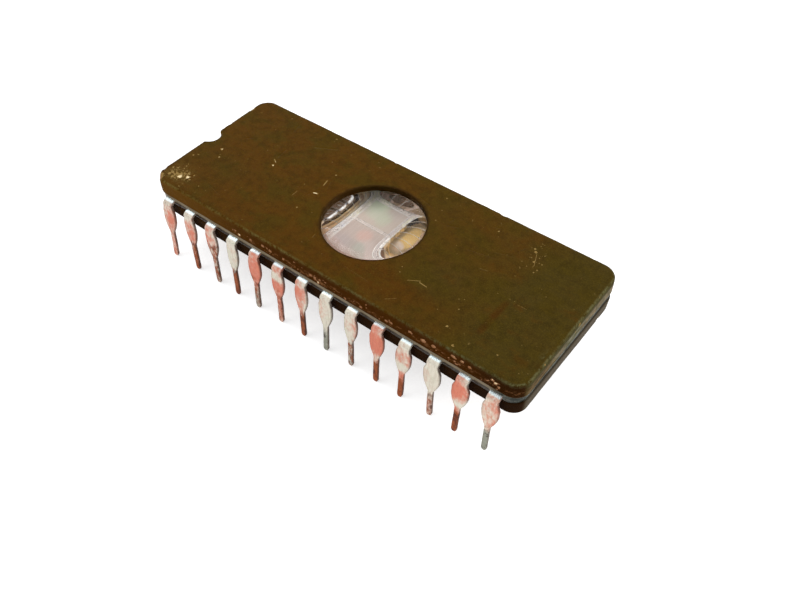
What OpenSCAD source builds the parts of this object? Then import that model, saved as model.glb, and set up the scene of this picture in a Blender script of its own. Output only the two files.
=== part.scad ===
// Windowed ceramic dual in-line package, 28 leads, with its die, bond wires
// and leadframe. Millimetres. +X runs along the package away from the index
// notch, +Z is up through the window, z = 0 is the plane of the lead tips.

/* [Body] */
// Length of the ceramic lid
body_l = 36.8; // [36:0.1:38]
// Width of the ceramic lid
body_w = 13.88; // [13.6:0.02:14.2]
// Thickness of the lid
lid_t = 1.475; // [1.3:0.025:1.8]
// Thickness of the base
base_t = 1.41; // [1.2:0.01:1.8]
// Radius of the upright corners
corner_r = 1.3; // [1:0.1:1.8]
// Rounding of the lid's upper edge
lid_edge = 0.27; // [0.1:0.01:0.4]
// How far the base's walls lean in at the underside
base_draft = 0.1; // [0.1:0.02:0.3]
// How far the base sits off the lid's centre, away from the notch
base_shift = 0.1; // [0:0.02:0.15]
// Length that the base is shorter than the lid
base_short = 0.2; // [0.1:0.02:0.4]

/* [Sealing glass] */
// Glass between the base and the leads
glass_under = 0.29; // [0.2:0.01:0.4]
// Glass between the leads and the lid
glass_over = 0.13; // [0.08:0.01:0.2]
// How far the glass stands back from the walls
glass_in = 0.1; // [0.05:0.01:0.2]

/* [Index notch] */
// Radius of the index notch in the end wall
notch_r = 0.9; // [0.7:0.05:1.2]
// Depth of the index notch
notch_d = 0.7; // [0.5:0.05:0.8]

/* [Window] */
// Diameter of the window hole
window_d = 8.5; // [8:0.02:8.8]
// Window centre, along the package
window_x = 0.16; // [-0.3:0.02:0.4]
// Window centre, across the package
window_y = -0.04; // [-0.3:0.02:0.3]
// Depth of the lens below the lid's top face
lens_recess = 0.02; // [0:0.01:0.4]
// How far the lens's upper face falls towards its rim
lens_drop = 0.5; // [0.2:0.01:0.7]
// Width of the rounded rim of the lens
lens_round = 2.4; // [0.6:0.05:2.6]

/* [Die cavity] */
// Cavity size along the package
cavity_x = 7; // [6.8:0.1:7.1]
// Cavity size across the package
cavity_y = 8.6; // [8.4:0.1:8.7]
// Depth of the cavity in the base
cavity_d = 0.33; // [0.3:0.01:0.5]
// Thickness of the gold die attach layer
gold_t = 0.05; // [0.03:0.01:0.08]

/* [Die] */
// Die size along the package
die_x = 4.48; // [4:0.01:4.8]
// Die size across the package
die_y = 7.1; // [6.4:0.05:7.5]
// Thickness of the die
die_t = 0.5; // [0.4:0.01:0.5]
// Die centre, along the package
die_cx = -0.68; // [-0.8:0.01:0.2]
// Die centre, across the package
die_cy = 0.1; // [-0.2:0.01:0.4]
// Turn of the die in its cavity, degrees
die_turn = -0.8; // [-3:0.1:3]

/* [Leads] */
// Distance between neighbouring leads
pitch = 2.54; // [2.54]
// Thickness of the lead strip
lead_t = 0.25; // [0.2:0.01:0.3]
// Width of the lead where it leaves the glass
root_w = 1.0; // [0.9:0.05:1.2]
// Width of the lead at its widest
blade_w = 1.4; // [1.3:0.02:1.6]
// Width of the narrow pin
pin_w = 0.47; // [0.4:0.01:0.55]
// Height of the base's underside above the tips
seat_h = 4.16; // [3.8:0.02:4.6]
// Distance from the centre line to the middle of the blade at the shoulder
row_half = 7.4; // [7.38:0.01:7.7]
// Outside radius of the shoulder bend
bend_r = 0.4; // [0.35:0.01:0.45]
// Outward splay of the blades, degrees
splay = 4.5; // [0:0.1:5]

/* [Bond wires] */
// Diameter of a bond wire
wire_d = 0.033; // [0.025:0.001:0.05]
// Rise of a wire above the straight line between its ends
wire_rise = 0.3; // [0.15:0.01:0.34]

/* [Hidden] */
$fn = 96;

// heights of the layers above the lead tips
z_base = seat_h;
z_glass = z_base + base_t;
z_lead = z_glass + glass_under;
z_strip = z_lead + lead_t;
z_lid = z_strip + glass_over;
z_top = z_lid + lid_t;
z_floor = z_glass - cavity_d;
z_die = z_floor + gold_t;
z_face = z_die + die_t;
lid_relief = 0.25;
relief_x = 9;
relief_y = 10.4;
z_lens = z_lid + lid_relief;
lens_t = z_top - lens_recess - z_lens;

lx = body_l / 2;
ly = body_w / 2;
bx = (body_l - base_short) / 2;
by = ly - 0.04;

// small sideways leans of the leads at their tips, millimetres, lead 1 to 28
leans = [-0.10, 0.20, 0.29, 0.06, 0.00, 0.10, 0.05, -0.04, 0.00, 0.00,
    -0.14, 0.10, -0.12, 0.00,
    0.05, -0.08, 0.04, 0.00, 0.10, -0.06, 0.03, -0.10, 0.00, 0.07,
    -0.05, 0.12, -0.04, 0.02];

// a slab with upright rounded corners whose edge follows a profile, given as
// [distance in from the wall, height] from the bottom to the top
module profiled_slab(hx, hy, r, prof) {
    n = len(prof);
    function side(h) = concat([for (p = prof) [h - p[0], p[1]]],
        [for (i = [n - 1:-1:0]) [-(h - prof[i][0]), prof[i][1]]]);
    translate([-(hx - r), 0, 0]) rotate([90, 0, 90])
        linear_extrude(2 * (hx - r)) polygon(side(hy));
    translate([0, hy - r, 0]) rotate([90, 0, 0])
        linear_extrude(2 * (hy - r)) polygon(side(hx));
    for (c = [[1, 1, 0], [-1, 1, 90], [-1, -1, 180], [1, -1, 270]])
        translate([c[0] * (hx - r), c[1] * (hy - r), 0]) rotate([0, 0, c[2]])
            rotate_extrude(angle = 90) polygon(concat(
                [[0, prof[0][1]]], [for (p = prof) [r - p[0], p[1]]],
                [[0, prof[n - 1][1]]]));
}

// points of a rounded upper edge, from the wall inwards
function round_over(e, z, n = 5) =
    [for (i = [0:n]) [e * (1 - cos(90 * i / n)), z - e * (1 - sin(90 * i / n))]];

module rounded_rect(hx, hy, r) {
    square([2 * (hx - r), 2 * hy], center = true);
    square([2 * hx, 2 * (hy - r)], center = true);
    for (sx = [-1, 1], sy = [-1, 1])
        translate([sx * (hx - r), sy * (hy - r)]) circle(r);
}

module notch_tool(z0, z1) {
    translate([-(lx - notch_d + notch_r), 0, z0]) cylinder(r = notch_r, h = z1 - z0);
}

module ceramic_base() {
    color([0.22, 0.15, 0.07]) difference() {
        translate([base_shift, 0, 0]) profiled_slab(bx, by, corner_r, [
            [base_draft + 0.16, z_base], [base_draft + 0.06, z_base + 0.05],
            [base_draft, z_base + 0.18], [0, z_glass]]);
        translate([0, 0, z_floor]) linear_extrude(cavity_d + 1)
            rounded_rect(cavity_x / 2, cavity_y / 2, 0.4);
        notch_tool(z_base - 1, z_glass + 1);
    }
}

module ceramic_lid() {
    color([0.24, 0.17, 0.06]) difference() {
        profiled_slab(lx, ly, corner_r, concat(
            [[0.08, z_lid], [0, z_lid + 0.08]], round_over(lid_edge, z_top)));
        translate([window_x, window_y, z_lid - 1]) cylinder(d = window_d, h = lid_t + 2);
        translate([0, 0, z_lid - 1]) linear_extrude(1 + lid_relief)
            rounded_rect(relief_x / 2, relief_y / 2, 0.6);
        notch_tool(z_lid - 1, z_top + 1);
    }
}

// flat disc whose upper face rounds down towards the wall of the hole
module window_lens() {
    r = window_d / 2;
    color([0.8, 0.82, 0.84, 0.5]) translate([window_x, window_y, 0])
        rotate_extrude() polygon(concat(
            [[0, z_lens], [r, z_lens]],
            [for (i = [12:-1:0]) [r - lens_round + lens_round * i / 12,
                z_lens + lens_t - lens_drop * pow(i / 12, 4)]],
            [[0, z_lens + lens_t]]));
}

module sealing_glass() {
    gx = lx - base_short - glass_in;
    gy = ly - glass_in;
    color([0.42, 0.44, 0.42]) difference() {
        union() {
            translate([0, 0, z_glass]) linear_extrude(z_lid - z_glass) difference() {
                rounded_rect(gx, gy, corner_r - 0.1);
                square([cavity_x + 0.3, cavity_y + 0.3], center = true);
            }
        }
        translate([0, 0, z_strip]) linear_extrude(1)
            square([relief_x, relief_y], center = true);
        notch_tool(z_glass - 1, z_lid + 1);
        translate([0, 0, z_lead]) linear_extrude(lead_t)
            for (k = [1:28]) place(k) inner_outline(quarter(k));
    }
}

module die_attach_layer() {
    color([0.83, 0.62, 0.25]) translate([0, 0, z_floor]) linear_extrude(gold_t)
        rounded_rect(cavity_x / 2 - 0.03, cavity_y / 2 - 0.03, 0.37);
}

module silicon_die() {
    color([0.62, 0.56, 0.56]) translate([die_cx, die_cy, z_die]) rotate([0, 0, die_turn])
        translate([-die_x / 2, -die_y / 2, 0]) cube([die_x, die_y, die_t]);
}

// ---- leads -------------------------------------------------------------

// leads 1 to 7 fill one quarter, the others are its reflections
function quarter(k) = k <= 7 ? k : k <= 14 ? 15 - k : k <= 21 ? k - 14 : 29 - k;
function flip_x(k) = (k > 7 && k <= 21) ? -1 : 1;
function flip_y(k) = k > 14 ? -1 : 1;
function lead_x(q) = -6.5 * pitch + (q - 1) * pitch;

module place(k) {
    mirror([flip_x(k) < 0 ? 1 : 0, 0, 0]) mirror([0, flip_y(k) < 0 ? 1 : 0, 0]) children();
}

// route of each finger from the wall to the rim of the cavity
finger_tip_x = -(cavity_x / 2 + 0.02);
finger_tip_y = -(cavity_y / 2 + 0.02);
routes = [
    [[lead_x(1), -7.2], [lead_x(1), -3.1], [-13.9, -0.54], [finger_tip_x, -0.54]],
    [[lead_x(2), -7.2], [lead_x(2), -4.1], [-11.5, -1.61], [finger_tip_x, -1.61]],
    [[lead_x(3), -7.2], [lead_x(3), -5.1], [-9, -2.69], [finger_tip_x, -2.69]],
    [[lead_x(4), -7.2], [lead_x(4), -6], [-6.7, -3.76], [finger_tip_x, -3.76]],
    [[lead_x(5), -7.2], [lead_x(5), -6.3], [-2.95, -5.0], [-2.95, finger_tip_y]],
    [[lead_x(6), -7.2], [lead_x(6), -6.75], [-1.77, -5.6], [-1.77, finger_tip_y]],
    [[lead_x(7), -7.2], [lead_x(7), -6.45], [-0.59, -5.7], [-0.59, finger_tip_y]]];
route_w = [root_w, 0.92, 0.8, 0.84];

function unit(v) = v / norm(v);
function perp(v) = [-v[1], v[0]];
function edge_point(p, i, w, s) =
    let (n = len(p),
        a = perp(unit(i > 0 ? p[i] - p[i - 1] : p[1] - p[0])),
        b = perp(unit(i < n - 1 ? p[i + 1] - p[i] : p[n - 1] - p[n - 2])),
        m = unit(a + b))
    p[i] + s * m * (w[i] / 2) / (m * a);

module inner_outline(q) {
    p = routes[q - 1];
    n = len(p);
    polygon(concat([for (i = [0:n - 1]) edge_point(p, i, route_w, 1)],
        [for (i = [n - 1:-1:0]) edge_point(p, i, route_w, -1)]));
}

// half width of the blade at a depth s under the shoulder
blade_top = 1.25;
blade_low = 1.85;
taper_end = 3.3;
function half_w(s) =
    s < 0.5 ? root_w / 2 :
    s < blade_top ? root_w / 2 + (blade_w - root_w) / 2 * (1 - cos(180 * (s - 0.5) / (blade_top - 0.5))) / 2 :
    s < blade_low ? blade_w / 2 :
    s < taper_end ? pin_w / 2 + (blade_w - pin_w) / 2 * cos(90 * (s - blade_low) / (taper_end - blade_low)) :
    pin_w / 2;
depths = concat([-0.4, 0.5], [for (i = [1:6]) 0.5 + (blade_top - 0.5) * i / 6],
    [for (i = [0:9]) blade_low + (taper_end - blade_low) * i / 9]);
blade_end = z_strip + 0.3;

module blade_outline() {
    e = z_strip;
    polygon(concat(
        [for (s = depths) [half_w(s), -s]],
        [[pin_w / 2, -e + 0.25], [pin_w / 2 - 0.1, -e], [pin_w / 2 - 0.1, -blade_end],
         [-pin_w / 2 + 0.1, -blade_end], [-pin_w / 2 + 0.1, -e], [-pin_w / 2, -e + 0.25]],
        [for (i = [len(depths) - 1:-1:0]) [-half_w(depths[i]), -depths[i]]]));
}

// side view of the lead outside the glass, y outward and z up from the shoulder
bend_c = row_half + lead_t / 2 - bend_r;
strip_start = ly - glass_in + 0.03;

module side_strip() {
    translate([strip_start, -lead_t]) square([bend_c - strip_start + 0.02, lead_t]);
}

module side_blade() {
    translate([bend_c, -bend_r]) intersection() {
        difference() {
            circle(bend_r);
            circle(bend_r - lead_t);
        }
        polygon([[0, 0], [0, 2], [2, 2], [2 * cos(splay), 2 * sin(splay)]]);
    }
    translate([bend_c, -bend_r]) rotate(splay)
        translate([bend_r - lead_t, -blade_end]) square([lead_t, blade_end]);
}

// a side view carried across the lead's width, cut to the lead's outline
module cut_to_outline() {
    intersection() {
        rotate([90, 0, -90]) translate([0, 0, -2]) linear_extrude(4) children();
        rotate([90, 0, 0]) linear_extrude(9) blade_outline();
    }
}

module lead(k) {
    q = quarter(k);
    lean = -leans[k - 1] / 5.6 * 180 / PI * flip_x(k);
    color([0.86, 0.80, 0.74]) place(k) {
        translate([0, 0, z_lead]) linear_extrude(lead_t) inner_outline(q);
        translate([lead_x(q), 0, z_strip]) cut_to_outline() side_strip();
        intersection() {
            translate([lead_x(q), 0, z_strip]) rotate([0, lean, 0])
                cut_to_outline() side_blade();
            translate([-20, -9, 0]) cube([40, 9, 9]);
        }
    }
}

// ---- bond wires ----------------------------------------------------------

// pad of each lead of the quarter at the front left, on the turned die
pad_in = 0.14;
pads = [[-1, -0.33], [-1, -1.0], [-1, -1.67], [-1, -2.33], [-1, -3.0], [0, -1.35], [0, -0.5]];
function pad_local(q, fx, fy) = pads[q - 1][0] == -1
    ? [-fx * (die_x / 2 - pad_in), fy * pads[q - 1][1]]
    : [fx * pads[q - 1][1], -fy * (die_y / 2 - pad_in)];
function turned(v, a) = [v[0] * cos(a) - v[1] * sin(a), v[0] * sin(a) + v[1] * cos(a)];
function pad_at(k) = [die_cx, die_cy] + turned(pad_local(quarter(k), flip_x(k), flip_y(k)), die_turn);
function stitch_at(k) = let (q = quarter(k), p = routes[q - 1][3])
    q <= 4 ? [flip_x(k) * (p[0] - 0.3), flip_y(k) * p[1]]
           : [flip_x(k) * p[0], flip_y(k) * (p[1] - 0.3)];

// a wire is one circular arc in an upright plane, with a flattened foot at each end
module bond_wire(k) {
    a = pad_at(k);
    b = stitch_at(k);
    d = norm(b - a);
    turn = atan2(b[1] - a[1], b[0] - a[0]);
    foot = 0.03;
    za = z_face + foot * 0.7;
    zb = z_strip + foot * 0.7;
    c = norm([d, zb - za]);
    slope = atan2(zb - za, d);
    r = (c * c / 4 + wire_rise * wire_rise) / (2 * wire_rise);
    half = asin(c / 2 / r);
    translate([a[0], a[1], 0]) rotate([0, 0, turn]) {
        translate([-0.07, -0.03, z_face]) cube([0.11, 0.06, foot]);
        translate([d - 0.04, -0.03, z_strip]) cube([0.13, 0.06, foot]);
        translate([0, 0, za]) rotate([0, -slope, 0])
            translate([c / 2, 0, wire_rise - r]) rotate([90, 0, 0])
                rotate([0, 0, 90 - half]) rotate_extrude(angle = 2 * half)
                    translate([r, 0]) circle(d = wire_d, $fn = 8);
    }
}

module bond_wires(ks) {
    color([0.85, 0.85, 0.86]) for (k = ks) bond_wire(k);
}

ceramic_base();
ceramic_lid();
window_lens();
sealing_glass();
die_attach_layer();
silicon_die();
lead(1);  // lead_01
lead(2);  // lead_02
lead(3);  // lead_03
lead(4);  // lead_04
lead(5);  // lead_05
lead(6);  // lead_06
lead(7);  // lead_07
lead(8);  // lead_08
lead(9);  // lead_09
lead(10);  // lead_10
lead(11);  // lead_11
lead(12);  // lead_12
lead(13);  // lead_13
lead(14);  // lead_14
lead(15);  // lead_15
lead(16);  // lead_16
lead(17);  // lead_17
lead(18);  // lead_18
lead(19);  // lead_19
lead(20);  // lead_20
lead(21);  // lead_21
lead(22);  // lead_22
lead(23);  // lead_23
lead(24);  // lead_24
lead(25);  // lead_25
lead(26);  // lead_26
lead(27);  // lead_27
lead(28);  // lead_28
bond_wires([1, 2, 3, 4, 25, 26, 27, 28]);  // bond_wires_notch_end
bond_wires([11, 12, 13, 14, 15, 16, 17, 18]);  // bond_wires_far_end
bond_wires([5, 6, 7, 8, 9, 10]);  // bond_wires_front
bond_wires([19, 20, 21, 22, 23, 24]);  // bond_wires_back
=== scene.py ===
import math
import random

import bpy
import bmesh
import numpy as np
from mathutils import Matrix, Vector, geometry, noise


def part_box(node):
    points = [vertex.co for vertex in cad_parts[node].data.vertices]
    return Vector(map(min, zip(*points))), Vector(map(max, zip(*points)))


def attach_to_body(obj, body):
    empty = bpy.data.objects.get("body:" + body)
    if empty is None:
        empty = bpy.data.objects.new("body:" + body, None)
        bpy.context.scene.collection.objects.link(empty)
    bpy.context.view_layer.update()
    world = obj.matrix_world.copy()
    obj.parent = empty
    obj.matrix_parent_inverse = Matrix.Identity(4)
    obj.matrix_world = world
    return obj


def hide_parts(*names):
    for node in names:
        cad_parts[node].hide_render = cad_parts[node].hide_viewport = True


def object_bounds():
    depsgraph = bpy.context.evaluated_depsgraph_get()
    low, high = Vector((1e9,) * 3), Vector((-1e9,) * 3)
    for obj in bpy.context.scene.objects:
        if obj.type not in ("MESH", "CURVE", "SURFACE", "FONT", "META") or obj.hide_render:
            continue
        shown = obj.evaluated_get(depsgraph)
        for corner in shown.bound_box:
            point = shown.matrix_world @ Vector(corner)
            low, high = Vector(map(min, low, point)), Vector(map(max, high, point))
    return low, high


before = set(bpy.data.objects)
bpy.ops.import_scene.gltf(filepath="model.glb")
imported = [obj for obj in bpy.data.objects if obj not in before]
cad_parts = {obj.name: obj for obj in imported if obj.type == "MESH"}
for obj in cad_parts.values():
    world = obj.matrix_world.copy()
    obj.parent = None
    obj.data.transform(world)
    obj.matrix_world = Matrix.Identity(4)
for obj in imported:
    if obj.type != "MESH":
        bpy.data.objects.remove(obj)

CAD_LO, CAD_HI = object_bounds()
MM = 0.001
scene = bpy.context.scene

# ---------------------------------------------------------------------------
# Sizes in millimetres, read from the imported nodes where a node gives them
# ---------------------------------------------------------------------------


def box_mm(node):
    lo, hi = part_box(node)
    return np.array(lo) * 1000, np.array(hi) * 1000


LID_LO, LID_HI = box_mm("ceramic_lid")
BASE_LO, BASE_HI = box_mm("ceramic_base")
GLASS_LO, GLASS_HI = box_mm("sealing_glass")
LENS_LO, LENS_HI = box_mm("window_lens")
GOLD_LO, GOLD_HI = box_mm("die_attach_layer")
DIE_LO, DIE_HI = box_mm("silicon_die")
LX, LY = LID_HI[0], LID_HI[1]
Z_TOP, Z_LID = LID_HI[2], LID_LO[2]
Z_BASE, Z_GLASS = BASE_LO[2], BASE_HI[2]
Z_FLOOR, Z_DIE, Z_FACE = GOLD_LO[2], GOLD_HI[2], DIE_HI[2]
Z_LENS = LENS_LO[2]
LENS_R = (LENS_HI[0] - LENS_LO[0]) / 2
WX, WY = (LENS_HI[0] + LENS_LO[0]) / 2, (LENS_HI[1] + LENS_LO[1]) / 2
LEAD_T = 0.25
Z_LEAD = Z_GLASS + 0.29
Z_STRIP = Z_LEAD + LEAD_T
RELIEF = (4.5, 5.2, 0.25)
CAV = (3.5, 4.3)
DIE_C = np.array([-0.68, 0.10])
DIE_S = np.array([4.48, 7.1])
DIE_TURN = math.radians(-0.8)


# ---------------------------------------------------------------------------
# Small mesh helpers
# ---------------------------------------------------------------------------


def fbm(P, s, seed=0.0, octaves=3, stretch=(1, 1, 1)):
    """Fractal noise, about -1 to 1, at points P in millimetres."""
    a, b, c = stretch
    return np.array([noise.fractal(Vector((p[0] * s * a + seed, p[1] * s * b - seed, p[2] * s * c + 2 * seed)),
                                   1.0, 2.0, octaves) for p in P])


def smooth(a, b, x):
    t = np.clip((np.asarray(x, float) - a) / (b - a), 0, 1)
    return t * t * (3 - 2 * t)


class Build:
    """Collects vertices in millimetres and faces."""

    def __init__(self):
        self.v, self.f, self.n = [], [], 0

    def add(self, pts):
        pts = np.asarray(pts, float).reshape(-1, 3)
        self.v.append(pts)
        first = self.n
        self.n += len(pts)
        return np.arange(first, self.n)

    def loft(self, a, b, closed=True):
        """Quads between two rows of vertex numbers."""
        n = len(a)
        for i in range(n if closed else n - 1):
            j = (i + 1) % n
            self.f.append((int(a[i]), int(a[j]), int(b[j]), int(b[i])))

    def lofts(self, rows, closed=True):
        for a, b in zip(rows, rows[1:]):
            self.loft(a, b, closed)

    def points(self):
        return np.concatenate(self.v)


def make(name, V, F, mat, replaces=(), values=None, angle=38, second=None):
    """mat may be a pair of materials; second then says which faces have the second one."""
    me = bpy.data.meshes.new(name)
    me.from_pydata((np.asarray(V, float) * MM).tolist(), [], F)
    for m in mat if isinstance(mat, (list, tuple)) else [mat]:
        me.materials.append(m)
    if second is not None:
        me.polygons.foreach_set("material_index", np.asarray(second, np.int32))
    bm = bmesh.new()
    bm.from_mesh(me)
    bmesh.ops.recalc_face_normals(bm, faces=bm.faces)
    bm.to_mesh(me)
    bm.free()
    for key, val in (values or {}).items():
        at = me.attributes.new(key, "FLOAT", "POINT")
        at.data.foreach_set("value", np.asarray(val, np.float32))
    me.polygons.foreach_set("use_smooth", [True] * len(me.polygons))
    me.set_sharp_from_angle(angle=math.radians(angle))
    ob = bpy.data.objects.new(name, me)
    scene.collection.objects.link(ob)
    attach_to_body(ob, "root")
    if replaces:
        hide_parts(*replaces)
    return ob


def inside(P, poly):
    """Which points lie inside a closed polygon."""
    x, y = P[:, 0], P[:, 1]
    res = np.zeros(len(P), bool)
    a, b = poly, np.roll(poly, -1, 0)
    for (x0, y0), (x1, y1) in zip(a, b):
        if y0 == y1:
            continue
        hit = ((y0 > y) != (y1 > y)) & (x < (x1 - x0) * (y - y0) / (y1 - y0) + x0)
        res ^= hit
    return res


def near(P, Q, d):
    """Which points of P have a point of Q within d."""
    out = np.zeros(len(P), bool)
    if not len(Q):
        return out
    for k in range(0, len(P), 512):
        block = P[k:k + 512]
        dist = ((block[:, None, :] - Q[None, :, :]) ** 2).sum(-1).min(1)
        out[k:k + 512] = dist < d * d
    return out


def fill(build, outer, holes, z, spacing, extra=None, seed=1):
    """Fills the flat region between the loop outer and the loops holes with an even triangle mesh.
    extra are further points wanted inside it."""
    rnd = random.Random(seed)
    pts = build.points()[:, :2]
    po = pts[outer]
    ph = [pts[h] for h in holes]
    lo, hi = po.min(0), po.max(0)
    xs = np.arange(lo[0] + spacing / 2, hi[0], spacing)
    ys = np.arange(lo[1] + spacing / 2, hi[1], spacing * 0.9)
    grid = np.array([(x + (spacing / 2 if j % 2 else 0) + rnd.uniform(-.12, .12) * spacing,
                      y + rnd.uniform(-.12, .12) * spacing) for j, y in enumerate(ys) for x in xs])
    border = np.concatenate([po] + ph)

    def keep(q, gap):
        ok = inside(q, po)
        for h in ph:
            ok &= ~inside(q, h)
        q = q[ok]
        return q[~near(q, border, gap)]

    grid = keep(grid, spacing * 0.6)
    if extra is not None and len(extra):
        extra = keep(np.asarray(extra, float), 0.03)
        chosen = []
        cells = {}
        for p in extra:
            c = (int(p[0] // 0.03), int(p[1] // 0.03))
            around = [cells[(c[0] + i, c[1] + j)] for i in (-1, 0, 1) for j in (-1, 0, 1) if (c[0] + i, c[1] + j) in cells]
            if any((q - p) @ (q - p) < 0.022 ** 2 for q in around):
                continue
            cells[c] = p
            chosen.append(p)
        extra = np.array(chosen)
        grid = grid[~near(grid, extra, spacing * 0.45)]
        inner = np.concatenate([grid, extra])
    else:
        inner = grid
    ids = list(outer)
    loops = [list(range(len(outer)))]
    for h in holes:
        loops.append(list(range(len(ids), len(ids) + len(h))))
        ids += list(h)
    coords = np.concatenate([border, inner])
    new = build.add(np.column_stack([inner, np.full(len(inner), z)]))
    ids = np.array(ids + list(new))
    edges = [(l[i], l[(i + 1) % len(l)]) for l in loops for i in range(len(l))]
    res = geometry.delaunay_2d_cdt([Vector(p) for p in coords], edges, [], 0, 1e-7)
    tri = np.array([t for t in res[2] if len(t) == 3])
    origin = res[3]
    at = np.array([o[0] if o else -1 for o in origin])
    co = np.array([(v[0], v[1]) for v in res[0]])
    cen = co[tri].mean(1)
    ok = inside(cen, po)
    for h in ph:
        ok &= ~inside(cen, h)
    for t in tri[ok]:
        q = at[t]
        if (q >= 0).all():
            build.f.append(tuple(int(x) for x in ids[q]))
    return new


def outline(x0, x1, hy, r, step, notch=None, fillet=0.3):
    """Counter-clockwise loop of a rectangle with rounded corners and, at x0, an index notch
    (radius, depth). Returns the points and their outward directions."""
    P, N = [], []

    def line(a, b, nrm):
        a, b = np.array(a, float), np.array(b, float)
        n = max(1, int(round(np.linalg.norm(b - a) / step)))
        for i in range(n):
            P.append(a + (b - a) * i / n)
            N.append(nrm)

    def arc(c, rad, a0, a1, flip=1):
        n = max(4, int(round(abs(a1 - a0) * rad / step)))
        for i in range(n):
            a = a0 + (a1 - a0) * i / n
            d = np.array([math.cos(a), math.sin(a)])
            P.append(np.array(c) + rad * d)
            N.append(d * flip)

    h = math.pi / 2
    line((x1, -hy + r), (x1, hy - r), (1, 0))
    arc((x1 - r, hy - r), r, 0, h)
    line((x1 - r, hy), (x0 + r, hy), (0, 1))
    arc((x0 + r, hy - r), r, h, 2 * h)
    if notch:
        R, depth = notch
        cx = x0 + depth - R
        fx = x0 + fillet
        fy = math.sqrt((R + fillet) ** 2 - (fx - cx) ** 2)
        a = math.atan2(-fy, cx - fx) % (2 * math.pi)
        b = math.atan2(fy, fx - cx)
        line((x0, hy - r), (x0, fy), (-1, 0))
        arc((fx, fy), fillet, math.pi, a)
        arc((cx, 0), R, b, -b, -1)
        arc((fx, -fy), fillet, 2 * math.pi - a, math.pi)
        line((x0, -fy), (x0, -hy + r), (-1, 0))
    else:
        line((x0, hy - r), (x0, -hy + r), (-1, 0))
    arc((x0 + r, -hy + r), r, 2 * h, 3 * h)
    line((x0 + r, -hy), (x1 - r, -hy), (0, -1))
    arc((x1 - r, -hy + r), r, 3 * h, 4 * h)
    return np.array(P), np.array(N, float)


def circle_loop(cx, cy, r, n):
    a = np.arange(n) * 2 * math.pi / n
    return np.column_stack([cx + r * np.cos(a), cy + r * np.sin(a)]), np.column_stack([np.cos(a), np.sin(a)])


def xyz(P, z):
    return np.column_stack([P, np.full(len(P), z)])


# ---------------------------------------------------------------------------
# Node helpers
# ---------------------------------------------------------------------------


class Nodes:
    def __init__(self, name):
        self.mat = bpy.data.materials.new(name)
        self.mat.use_nodes = True
        self.t = self.mat.node_tree
        self.t.nodes.clear()
        self.out = self.t.nodes.new("ShaderNodeOutputMaterial")
        co = self.t.nodes.new("ShaderNodeTexCoord")
        sc = self.t.nodes.new("ShaderNodeVectorMath")
        sc.operation = "SCALE"
        sc.inputs["Scale"].default_value = 1000.0
        self.t.links.new(co.outputs["Object"], sc.inputs[0])
        self.mm = sc.outputs[0]
        self._sep = None

    def link(self, a, b):
        self.t.links.new(a, b)

    def put(self, sock, v):
        if isinstance(v, bpy.types.NodeSocket):
            self.link(v, sock)
        else:
            if sock.type == "RGBA" and len(v) == 3:
                v = (*v, 1.0)
            sock.default_value = v

    def sep(self):
        if self._sep is None:
            n = self.t.nodes.new("ShaderNodeSeparateXYZ")
            self.link(self.mm, n.inputs[0])
            self._sep = n.outputs
        return self._sep

    def attr(self, name):
        n = self.t.nodes.new("ShaderNodeAttribute")
        n.attribute_type = "GEOMETRY"
        n.attribute_name = name
        return n.outputs["Fac"]

    def mapping(self, scale=(1, 1, 1), rot=(0, 0, 0), loc=(0, 0, 0)):
        n = self.t.nodes.new("ShaderNodeMapping")
        self.link(self.mm, n.inputs["Vector"])
        n.inputs["Scale"].default_value = scale
        n.inputs["Rotation"].default_value = rot
        n.inputs["Location"].default_value = loc
        return n.outputs[0]

    def noise(self, scale, detail=3.0, rough=0.55, vec=None, dist=0.0, kind="FBM"):
        n = self.t.nodes.new("ShaderNodeTexNoise")
        n.noise_dimensions = "3D"
        self.link(vec if vec is not None else self.mm, n.inputs["Vector"])
        n.inputs["Scale"].default_value = scale
        n.inputs["Detail"].default_value = detail
        n.inputs["Roughness"].default_value = rough
        n.inputs["Distortion"].default_value = dist
        return n.outputs["Fac"]

    def voronoi(self, scale, vec=None, feature="F1"):
        n = self.t.nodes.new("ShaderNodeTexVoronoi")
        n.feature = feature
        self.link(vec if vec is not None else self.mm, n.inputs["Vector"])
        n.inputs["Scale"].default_value = scale
        return n.outputs["Distance"]

    def math(self, op, a, b=0.0, clamp=False):
        n = self.t.nodes.new("ShaderNodeMath")
        n.operation = op
        n.use_clamp = clamp
        self.put(n.inputs[0], a)
        self.put(n.inputs[1], b)
        return n.outputs[0]

    def map(self, v, a, b, c=0.0, d=1.0, kind="SMOOTHSTEP"):
        n = self.t.nodes.new("ShaderNodeMapRange")
        n.interpolation_type = kind
        n.clamp = True
        self.put(n.inputs["Value"], v)
        n.inputs["From Min"].default_value = a
        n.inputs["From Max"].default_value = b
        n.inputs["To Min"].default_value = c
        n.inputs["To Max"].default_value = d
        return n.outputs["Result"]

    def mix(self, f, a, b, mode="MIX"):
        n = self.t.nodes.new("ShaderNodeMix")
        n.data_type = "RGBA"
        n.blend_type = mode
        n.clamp_factor = True
        self.put(n.inputs[0], f)
        self.put(n.inputs[6], a)
        self.put(n.inputs[7], b)
        return n.outputs[2]

    def bump(self, h, strength, distance, base=None):
        n = self.t.nodes.new("ShaderNodeBump")
        n.inputs["Strength"].default_value = strength
        n.inputs["Distance"].default_value = distance * MM
        self.link(h, n.inputs["Height"])
        if base is not None:
            self.link(base, n.inputs["Normal"])
        return n.outputs[0]

    def principled(self, **kw):
        n = self.t.nodes.new("ShaderNodeBsdfPrincipled")
        for k, v in kw.items():
            self.put(n.inputs[k.replace("_", " ")], v)
        self.link(n.outputs[0], self.out.inputs["Surface"])
        return n


# ---------------------------------------------------------------------------
# Materials
# ---------------------------------------------------------------------------


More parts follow.
